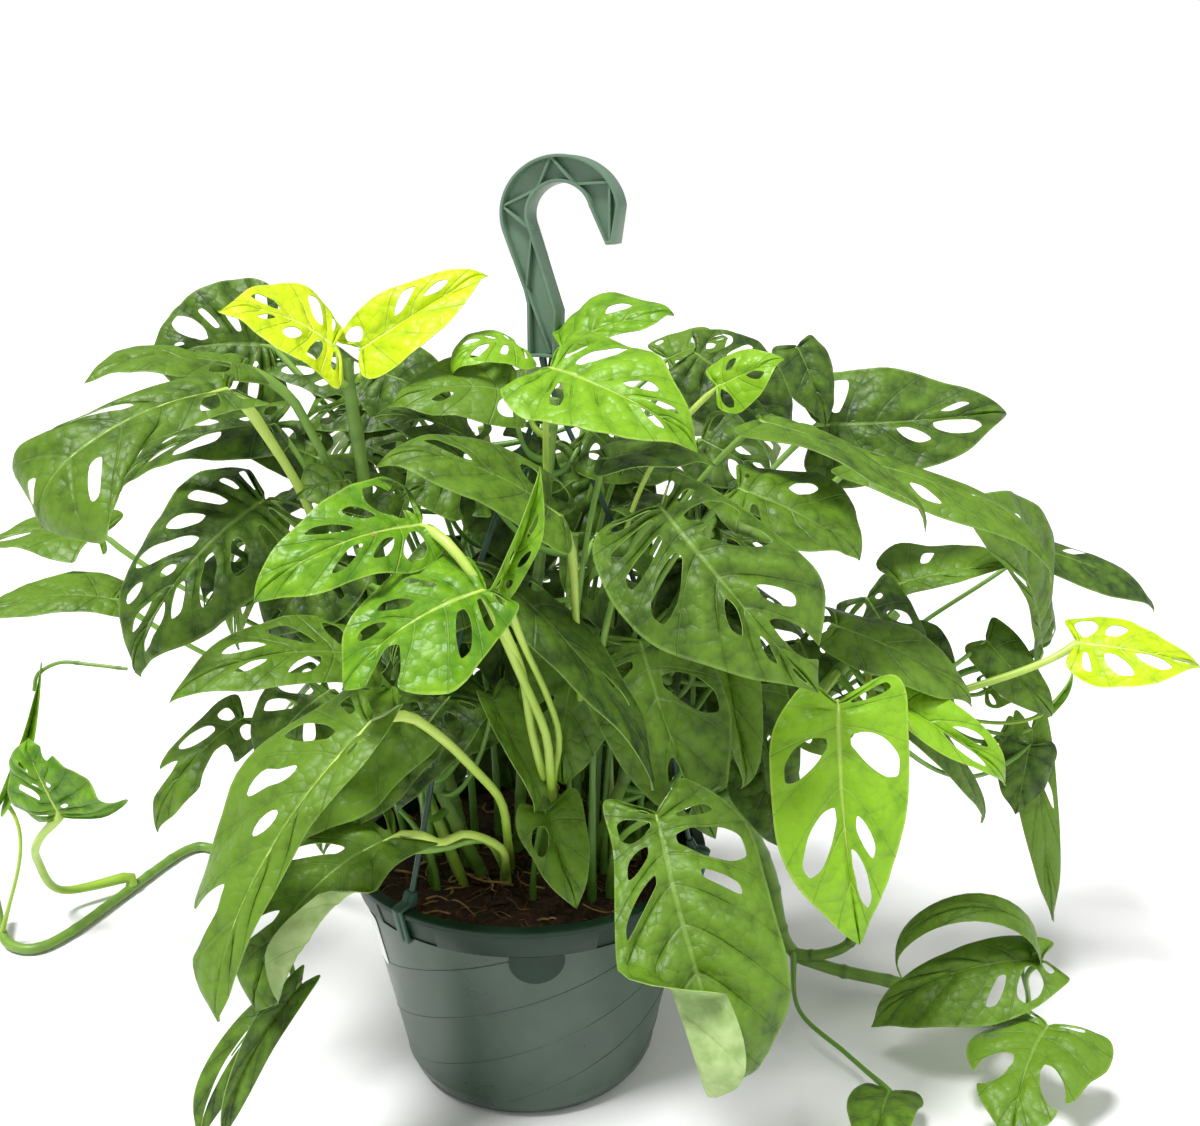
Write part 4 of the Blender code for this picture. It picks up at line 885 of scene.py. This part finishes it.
def mottledFinish(look):  # three shades of one stuff, in patches, with its grain as relief
    material, tree = newMaterial(look["name"])
    coords = addNode(tree, "TexCoord", {}, output="Object")
    patches, grain = [
        addNode(tree, "TexNoise", {"Vector": coords, "Scale": 1 / look[name], "Detail": fine,
                                   "Roughness": rough})
        for name, fine, rough in (("patch", 5.0, 0.6), ("grain", 3.0, 0.5))]
    base = threeShades(tree, look["shades"], patches, ((0.3, 0.5), (0.5, 0.7)))
    rough = addNode(tree, "MapRange", {0: patches, 1: 0.3, 2: 0.7, 3: look["roughness"] - 0.05,
                                       4: look["roughness"] + 0.08})
    dressSurface(tree, base, rough, grain, look["relief"], look["depth"],
                 {"IOR": look.get("ior", 1.45), "Specular IOR Level": look.get("specular", 0.5)})
    return material


def stalkFinish(name, shades, roughness):  # smooth skin, coloured from foot to top by the shade value
    material, tree = newMaterial(name)
    coords = addNode(tree, "TexCoord", {}, output="Object")
    mottle = addNode(tree, "TexNoise", {"Vector": coords, "Scale": 1 / 0.014, "Detail": 4.0})
    age = addNode(tree, "Attribute", {}, dict(attribute_name="shade"), "Fac")
    amount = addNode(tree, "Math", {0: mottle, 1: 0.5, 2: -0.25}, scaled)
    amount = addNode(tree, "Math", {0: amount, 1: age}, plus)
    base = threeShades(tree, shades, amount, ((0.0, 0.35), (0.4, 0.95)))
    dressSurface(tree, base, roughness, mottle, 0.25, 0.0008, {})
    return material


plastic = dict(patch=0.045, grain=0.0009, relief=0.12, depth=0.0002, ior=1.49)
plainLooks = dict(
    edge=dict(name="cutLeafEdge", shades=("#6f963c", "#88ac4e", "#a3c268"), patch=0.01, grain=0.002,
              roughness=0.5, relief=0.2, depth=0.0004),  # pale rim
    root=dict(name="dryAerialRoot", shades=("#7d5730", "#a98350", "#cdb07c"), patch=0.012, grain=0.002,
              roughness=0.8, relief=0.4, depth=0.0006),  # tan cork
    potting=dict(name="dampCoirPottingMix", shades=("#21150e", "#392519", "#5a3b2a"), patch=0.006,
                 grain=0.003, roughness=0.9, relief=0.8, depth=0.003),  # near black and matt, with no shine
    chip=dict(name="pineBarkChip", shades=("#1f120b", "#40271a", "#65412c"), patch=0.008, grain=0.002,
              roughness=0.85, relief=0.6, depth=0.001),  # red-brown flakes
    fibre=dict(name="coirFibre", shades=("#5a3821", "#825636", "#b08456"), patch=0.01, grain=0.002,
               roughness=0.8, relief=0.3, depth=0.0004),  # thin ginger hairs
    pot=dict(plastic, name="mouldedPolypropylenePot", shades=("#0e2518", "#132c1d", "#183425"),
             roughness=0.36, specular=0.25),  # dark green with a soft sheen
    wall=dict(plastic, name="mouldedPolypropyleneWall", shades=("#314437", "#384c3e", "#405446"),
              roughness=0.3),  # the same green, lightened as a painted reflection of the white floor
    hanger=dict(plastic, name="mouldedPolypropyleneHook", shades=("#5a7561", "#65806a", "#708a75"),
                roughness=0.4),  # greyed green, satin
    strap=dict(plastic, name="drawnPolypropyleneStrap", shades=("#29443a", "#304e42", "#38594c"),
               roughness=0.4),  # darker than the hook
    label=dict(name="coatedLabelPaper", shades=("#f0f0ed", "#f5f5f2", "#f9f9f7"), patch=0.02, grain=0.0005,
               roughness=0.5, relief=0.1, depth=0.0001))  # blank white sheet
finishes = {name: mottledFinish(look) for name, look in plainLooks.items()}
finishes["upper"] = {tone: leafUpper(tone) for tone in leafLooks}
finishes["under"] = {tone: leafUnder(tone) for tone in leafLooks}
finishes["stalk"] = dict(mature=stalkFinish("maturePetioleSkin", ("#3f6b20", "#5f8d30", "#86ac48"), 0.4),
                         pale=stalkFinish("palePetioleSkin", ("#6c9a2a", "#9cc040", "#c8de6e"), 0.36))
finishes["stem"] = stalkFinish("greenVineSkin", ("#6a5a34", "#587f2c", "#86ab40"), 0.42)
print("finishes ready")

# Pot: turned shell with a stepped rim band, six spiral ribs, a half-round pad and a foot ring
potShape = dict(
    height=165, rimRadius=127, rimInner=119, band=21, bandLower=121, wallTop=118.5, foot=87, wall=2.0,
    floor=3.0, steps=180, ringHeight=15, ribCount=6, ribStart=-98, ribRise=0.67, ribRadius=0.55,
    recessDepth=0.9, clipAngles=(-128, -8, 112), clipRecess=12, sideRecess=(65.5, 4), padAngle=-84.5,
    padRadius=18, padHeight=139)
bandFoot = potShape["height"] - potShape["band"]


def wallRadius(height):
    return potShape["foot"] + (potShape["wallTop"] - potShape["foot"]) * height / bandFoot


def turnedShell(name, profile, steps):  # profile of (radius, height) from the centre of the underside round
    radius, height = profile[0]
    bpy.ops.mesh.primitive_circle_add(vertices=steps, radius=mm * radius, fill_type="NGON",
                                      location=(0, 0, mm * height))
    shell = bpy.context.object
    shell.name = name
    settle(shell)
    bpy.ops.object.mode_set(mode="EDIT")
    bpy.ops.mesh.select_mode(type="FACE")
    bpy.ops.mesh.select_all(action="SELECT")
    for nextRadius, nextHeight in profile[1:]:
        rise = mm * (nextHeight - height)
        bpy.ops.mesh.extrude_region_move(TRANSFORM_OT_translate={"value": (0, 0, rise)})
        ratio = nextRadius / radius
        bpy.ops.transform.resize(value=(ratio, ratio, 1), center_override=(0, 0, mm * nextHeight))
        radius, height = nextRadius, nextHeight
    bpy.ops.object.mode_set(mode="OBJECT")
    editWhole(faceOut)
    return shell


def addPot(shape):
    top, ring, foot, lower, rim, inner = (
        shape[key] for key in ("height", "ringHeight", "foot", "bandLower", "rimRadius", "rimInner"))
    profile = [
        (foot - 9, 0), (foot - 6, 0.8), (foot - 3.2, 3), (wallRadius(8) - 1, 8),
        (wallRadius(ring) - 0.3, ring - 0.5), (wallRadius(ring) + 0.5, ring),
        (wallRadius(ring + 1) + 0.1, ring + 1), (wallRadius(40), 40), (wallRadius(80), 80),
        (wallRadius(120), 120), (wallRadius(bandFoot) - 0.4, bandFoot - 1),
        (wallRadius(bandFoot) + 0.6, bandFoot), (lower - 0.5, bandFoot), (lower, bandFoot + 0.5),
        (rim - 1.1, top - 5), (rim - 0.2, top - 4.2), (rim, top - 1.2), (rim - 0.4, top - 0.4),
        (rim - 1.2, top), (inner + 0.8, top), (inner + 0.1, top - 0.4), (inner, top - 1),
        (inner, bandFoot + 7), (inner - 2, bandFoot + 4), (wallRadius(bandFoot) - shape["wall"], bandFoot),
        (foot - shape["wall"] - 1, shape["floor"])]
    pot = turnedShell("pot_fine", profile, shape["steps"])
    middle, half = shape["sideRecess"]
    recesses = [(angle + aside, wide) for angle in shape["clipAngles"]
                for aside, wide in ((0, shape["clipRecess"]), (middle, half))]
    bpy.ops.object.mode_set(mode="EDIT")
    bpy.ops.mesh.select_all(action="DESELECT")
    data = bmesh.from_edit_mesh(pot.data)
    for face in data.faces:
        spot = face.calc_center_median()
        onBand = bandFoot + 1 < spot.z / mm < top - 5 and math.hypot(*spot.xy) > mm * (inner + 3)
        turn = math.degrees(math.atan2(spot.y, spot.x)) + 180
        face.select = onBand and any(abs((turn - angle) % 360 - 180) < wide for angle, wide in recesses)
    bmesh.update_edit_mesh(pot.data)
    bpy.ops.mesh.inset(thickness=0.0004, depth=-mm * shape["recessDepth"])
    bpy.ops.object.mode_set(mode="OBJECT")
    pot.data.materials.append(finishes["pot"])
    pot.data.materials.append(finishes["wall"])
    # Wall faces below the band take the wall finish, whose lighter green is a painted reflection of the
    # floor
    for face in pot.data.polygons:
        face.material_index = int(face.center.z < mm * (bandFoot - 2) and face.normal.z < 0.5)
    others = []
    heights = np.linspace(ring + 0.5, bandFoot - 0.5, 70)
    for k in range(shape["ribCount"]):
        start = shape["ribStart"] + 360 / shape["ribCount"] * k
        turns = np.radians(start + (heights - ring) / shape["ribRise"])
        line = [onCircle(wallRadius(height) - 0.15, turn, height) for turn, height in zip(turns, heights)]
        others.append(tubePiece(f"spiralRib{k}", line, [shape["ribRadius"]] * len(line), 1))
        # The spiral ribs take the same wall finish, with its painted floor reflection
        others[-1].data.materials.append(finishes["wall"])
    others.append(padPiece(shape))
    others[-1].data.materials.append(finishes["pot"])
    joinPieces(pot, others)
    finishPiece(pot, "pot", crease=28)


def wrapOnWall(item, centreAngle, centreHeight, stand):  # a flat shape in x and y is laid on the wall
    for corner in item.data.vertices:
        height = centreHeight + corner.co.y / mm
        radius = wallRadius(height) + stand + corner.co.z / mm
        turn = math.radians(centreAngle) + corner.co.x / mm / wallRadius(height)
        corner.co = mm * Vector(onCircle(radius, turn, height))


def padPiece(shape):
    bpy.ops.mesh.primitive_circle_add(vertices=48, radius=mm * shape["padRadius"], fill_type="TRIFAN")
    pad = bpy.context.object
    pad.name = "rimPad"
    halve = dict(plane_co=(0, mm * 4, 0), plane_no=(0, 1, 0), clear_outer=True, use_fill=False)
    thicken = dict(TRANSFORM_OT_translate={"value": (0, 0, 0.0014)})
    editWhole(("bisect", halve), ("extrude_region_move", thicken), faceOut)
    wrapOnWall(pad, shape["padAngle"], shape["padHeight"], -0.5)
    return pad


addPot(potShape)
print("pot ready")

labelShape = dict(width=38, height=38, angle=201, top=137, thickness=0.4, corner=2.0)


def addLabel(shape):
    bpy.ops.mesh.primitive_grid_add(x_subdivisions=14, y_subdivisions=10, size=1)
    label = bpy.context.object
    label.name = "label_fine"
    for corner in label.data.vertices:
        rim = abs(corner.co.x) > 0.49 and abs(corner.co.y) > 0.49
        trim = shape["corner"] * 0.5 if rim else 0
        corner.co.x = mm * (corner.co.x * shape["width"] - math.copysign(trim, corner.co.x))
        corner.co.y = mm * (corner.co.y * shape["height"] - math.copysign(trim, corner.co.y))
    wrapOnWall(label, shape["angle"], shape["top"] - shape["height"] / 2, 0.3)
    modify(label, "SOLIDIFY", thickness=mm * shape["thickness"], offset=1)
    modify(label, "BEVEL", width=0.0001, segments=2)
    finishPiece(label, "label", finishes["label"])


addLabel(labelShape)

# Potting mix: an uneven surface with bark chips, coir fibres and roots
soilShape = dict(steps=96, rings=26, swell=3.2, grain=1.6, chips=240, chipReach=112, fibres=170, roots=60,
                 reach=115)


def addSoil(shape):
    inner = potShape["rimInner"] - 0.6
    profile = [(potShape["foot"] - 4, 3.4), (wallRadius(bandFoot) - 2.8, bandFoot + 0.2),
               (inner - 2, bandFoot + 4.4), (inner, bandFoot + 7), (inner, soilTop - 1)]
    profile += [(inner * (1 - k / shape["rings"]) - 0.5, soilTop) for k in range(shape["rings"])]
    soil = turnedShell("soil_fine", profile, shape["steps"])
    for corner in soil.data.vertices:
        place = corner.co / mm
        if place.z < soilTop - 0.5:
            continue
        fade = min(1, (inner - math.hypot(place.x, place.y)) / 8)
        broad = noise.noise(place * 0.03) * shape["swell"]
        fine = noise.noise(place * 0.16) * shape["grain"] + noise.noise(place * 0.5) * shape["grain"] * 0.6
        corner.co.z += mm * fade * (broad + fine)
    activate(soil)
    bpy.ops.object.shade_smooth()
    finishPiece(soil, "soil", finishes["potting"])


def onSoil(draw, reach):
    return onCircle(reach * math.sqrt(draw.random()), draw.uniform(0, 2 * math.pi), soilTop)


def addChips(shape):
    draw = random.Random(11)
    bpy.ops.mesh.primitive_ico_sphere_add(subdivisions=2, radius=mm)
    first = bpy.context.object
    for corner in first.data.vertices:
        corner.co *= 1 + 0.45 * noise.noise(corner.co / mm * 1.7)
    chips = [linkObject(f"chip{k}", first.data.copy()) for k in range(shape["chips"])]
    bpy.data.objects.remove(first)
    for chip in chips:
        chip.location = mm * Vector(onSoil(draw, shape["chipReach"]) + [0, 0, draw.uniform(-0.5, 1.5)])
        chip.rotation_euler = [draw.uniform(0, 6.28) for axis in range(3)]
        size = draw.uniform(1.2, 4.2)
        chip.scale = (size * draw.uniform(0.8, 1.6), size, size * draw.uniform(0.35, 0.7))
    first = joinPieces(chips[0], chips[1:])
    first.name = first.data.name = "bark_chips"
    settle(first)
    finishPiece(first, None, finishes["chip"], crease=40)


def addStrands(name, count, seed, reach, length, radius, rise, finish):
    draw = random.Random(seed)
    pieces = []
    for k in range(count):
        spot, turn = onSoil(draw, reach), draw.uniform(0, 2 * math.pi)
        points = [spot + [0, 0, -1]]
        for step in range(4):
            turn += draw.uniform(-0.9, 0.9)
            move = length * draw.uniform(0.6, 1.2) / 4
            points.append(points[-1] + onCircle(move, turn, draw.uniform(-0.6, 1) * rise))
        points = smoothLine([[*p[:2], max(p[2], soilTop - 0.5)] for p in points], 12)
        edge = np.hypot(points[:, 0], points[:, 1]).max()
        points[:, :2] *= min(1, soilShape["reach"] / edge)
        pieces.append(tubePiece(f"{name}{k}", points, radius * np.linspace(1, 0.45, 12), 0))
    first = joinPieces(pieces[0], pieces[1:])
    first.name = first.data.name = name
    finishPiece(first, None, finish)


addSoil(soilShape)
addChips(soilShape)
addStrands("coir_fibres", soilShape["fibres"], 5, 112, 24, 0.4, 3.4, finishes["fibre"])
addStrands("surface_roots", soilShape["roots"], 7, 106, 36, 1.1, 5.0, finishes["root"])
print("soil ready")

# Hanger: flat moulded hook with a raised rim and zigzag ribs, and three strands with rim clips
hookShape = dict(
    centre=(29, 600), outer=(42, 36), inner=(22, 19), depth=14, flange=2.0, web=2.6, yaw=-25, turnX=16,
    foot=(16, 510), width=20, ribTurns=(32, 62, 98, 132, 172, 212), ribWidth=1.7, soften=0.45)
strandShape = dict(radius=1.9, spread=4.2, clipWidth=8.5, wall=2.4, gap=0.3)


def arcPoints(centre, radii, turns):
    return [(centre[0] + radii[0] * math.cos(turn), centre[1] + radii[1] * math.sin(turn))
            for turn in np.radians(turns)]


def hookOutline(shape, inset):
    outer, inner = [value - inset for value in shape["outer"]], [value + inset for value in shape["inner"]]
    (x, z), (midX, midZ) = shape["foot"], shape["centre"]
    half = shape["width"] / 2 - inset
    return arcPoints(shape["centre"], outer, np.linspace(8, 196, 48)) + [
        (x - half - 2, z + 42), (x - half, z + 34), (x - half, z + inset), (x + half, z + inset),
        (x + half + 1, z + 30), *arcPoints(shape["centre"], inner, np.linspace(202, 14, 40)),
        (midX + 33, midZ - 19 + inset), (midX + 38 - inset, midZ - 18 + inset)]


def platePiece(name, outlines, thickness, soften):  # flat outlines in x and y, made a solid plate
    flatten = ("dissolve_limited", dict(angle_limit=math.radians(1)))
    lines = [[((x, y, 0), 1) for x, y in outline] for outline in outlines]
    item = curvePiece(name, lines, True, (weld, flatten, faceOut), dimensions="2D", fill_mode="BOTH",
                      extrude=mm * thickness / 2)
    if soften:
        modify(item, "BEVEL", width=mm * soften, segments=2, limit_method="ANGLE",
               angle_limit=math.radians(50))
    return item


def addHook(shape):
    flange = platePiece("hanger_hook_fine", [hookOutline(shape, 0), hookOutline(shape, shape["flange"])],
                        shape["depth"], shape["soften"])
    pieces = [platePiece("web", [hookOutline(shape, shape["flange"] / 2)], shape["web"], 0)]
    (x, z), (midX, midZ) = shape["foot"], shape["centre"]
    bends = [(midX + 35, midZ - 16)]
    for k, turn in enumerate(shape["ribTurns"]):
        radii, grown = (shape["outer"], -1) if k % 2 == 0 else (shape["inner"], 1)
        bends += arcPoints(shape["centre"], [radius + grown for radius in radii], [turn])
    bends = [Vector(bend) for bend in bends + [(x - 11, z + 44), (x + 6, z + 3)]]
    for start, end in zip(bends[:-1], bends[1:]):
        side = (end - start).orthogonal().normalized() * shape["ribWidth"] / 2
        outline = [tuple(corner) for corner in (start + side, start - side, end - side, end + side)]
        pieces.append(platePiece("rib", [outline], shape["depth"] - 2.5, 0.25))
    joinPieces(flange, pieces)
    flange.rotation_euler = (math.radians(90), 0, 0)
    settle(flange)
    turn = Matrix.Rotation(math.radians(shape["yaw"]), 4, "Z")
    shift = Matrix.Translation((mm * shape["turnX"], 0, 0))
    flange.matrix_world = shift @ turn @ shift.inverted()
    settle(flange)
    flange.name = flange.data.name = "hanger_hook_fine"
    finishPiece(flange, "hanger_hook", finishes["hanger"], 35)


def addStrand(name, angle, shape):
    turn = math.radians(angle)
    out = onCircle(1, turn)
    top = np.array([hookShape["foot"][0], 0, hookShape["foot"][1] - shape["gap"]]) + shape["spread"] * out
    clipRadius = potShape["rimInner"] - 3.6
    foot = clipRadius * out + [0, 0, potShape["height"] + 7]
    middle = 0.5 * (top + foot) + 9 * out + [0, 0, 14]
    line = smoothLine([top, top + [0, 0, -30] + 3 * out, middle, foot], 40)
    strand = tubePiece(name + "_fine", line, [shape["radius"]] * 40, 2)
    wall, rimTop, foot = shape["wall"], potShape["height"] + shape["gap"], bandFoot - 0.6
    outer, lower = potShape["rimRadius"] + shape["gap"], potShape["bandLower"] + shape["gap"]
    profile = [
        (clipRadius - 1.4, rimTop + 0.4), (clipRadius - 1.8, rimTop + 9), (clipRadius + 2, rimTop + 9),
        (clipRadius + 5, rimTop + wall + 1), (outer, rimTop + wall), (outer + wall, rimTop + wall - 1.6),
        (lower + wall, foot - wall), (lower - 3, foot - wall), (lower - 3, foot), (lower, foot),
        (outer, rimTop - 0.8), (outer, rimTop), (clipRadius + 3, rimTop)]
    clip = platePiece("clip", [profile], shape["clipWidth"], 0.5)
    ridge = [(x + 0.9, z + 0.3) for x, z in profile[1:7]] + profile[11:]
    joinPieces(clip, [platePiece("ridge", [ridge], shape["clipWidth"] * 0.3, 0.3)])
    for way in ((math.radians(90), 0, 0), (0, 0, turn)):
        clip.rotation_euler = way
        settle(clip)
    joinPieces(strand, [clip])
    finishPiece(strand, name, finishes["strap"], 35)


addHook(hookShape)
for side, angle in zip(("front_left", "right", "back"), potShape["clipAngles"]):
    addStrand("strand_" + side, angle, strandShape)
print("hanger ready")

# Stems: smooth tubes that swell at each node
stemLook = dict(spacing=34, swell=0.17, ringWidth=2.2, sides=4)


def addStem(name, look):
    radius, route = stemRoute(name, 110)
    route[:, 2] = np.maximum(route[:, 2], radius + 0.3)
    if abs(route[0, 2] - soilTop) < 1:
        route[0, 2] = soilTop - 4
    travel = np.concatenate([[0], np.cumsum(np.linalg.norm(np.diff(route, axis=0), axis=1))])
    ring = np.exp(-((travel % look["spacing"] - look["spacing"] / 2) / look["ringWidth"]) ** 2)
    radii = radius * (0.92 + look["swell"] * ring) * np.interp(travel, [0, travel[-1]], [1.04, 0.9])
    name = "stem_" + name
    stem = tubePiece(name + "_fine", route, radii, look["sides"])
    places = np.array([corner.co for corner in stem.data.vertices]) / mm
    nearest = np.argmin(np.linalg.norm(places[:, None] - route[None], axis=2), axis=1)
    ageSurface(stem, 0.55 - 0.35 * ring[nearest] + 0.15 * nearest / len(route))
    finishPiece(stem, name if name in frame["nodes"] else None, finishes["stem"])


for name in stems:
    addStem(name, stemLook)
print("stems ready")

# Fillers: leaves at random places behind and inside the crown
fillerShape = dict(count=34, seed=21, stems=("inner_left", "inner_right", "inner_back"))


def growFillers(shape):
    draw = random.Random(shape["seed"])
    for k in range(shape["count"]):
        turn = math.radians(draw.uniform(-25, 205))
        height = draw.uniform(225, 470)
        reach = draw.uniform(60, 150) * (1.15 - abs(height - 340) / 420)
        out = onCircle(1, turn)
        joint = reach * out + [0, 20, height]
        length = draw.uniform(70, 105)
        dip = draw.uniform(0.2, 1.2)
        gaps = {stem: np.linalg.norm(joint - 0.7 * np.array(stems[stem][1][2])) for stem in shape["stems"]}
        tip, face = joint + length * unit(out + [0, 0, -dip]), unit(out * dip + [0, -0.15, 0.8])
        grow(f"filler_{k}", joint, tip, face, length * draw.uniform(0.62, 0.78),
             (min(gaps, key=gaps.get), draw.uniform(0.2, 0.9), *out[:2], 0.2), columns=12,
             shade=draw.uniform(0, 0.4))


growFillers(fillerShape)
for name, leaf in leaves.items():
    addLeaf(name, leaf)
print("leaves ready:", len(leaves))

madePieces = [item for item in bpy.data.objects if item.type == "MESH" and item.name.endswith("_fine")]
print("triangles added:", sum(len(face.vertices) - 2 for item in madePieces for face in item.data.polygons))
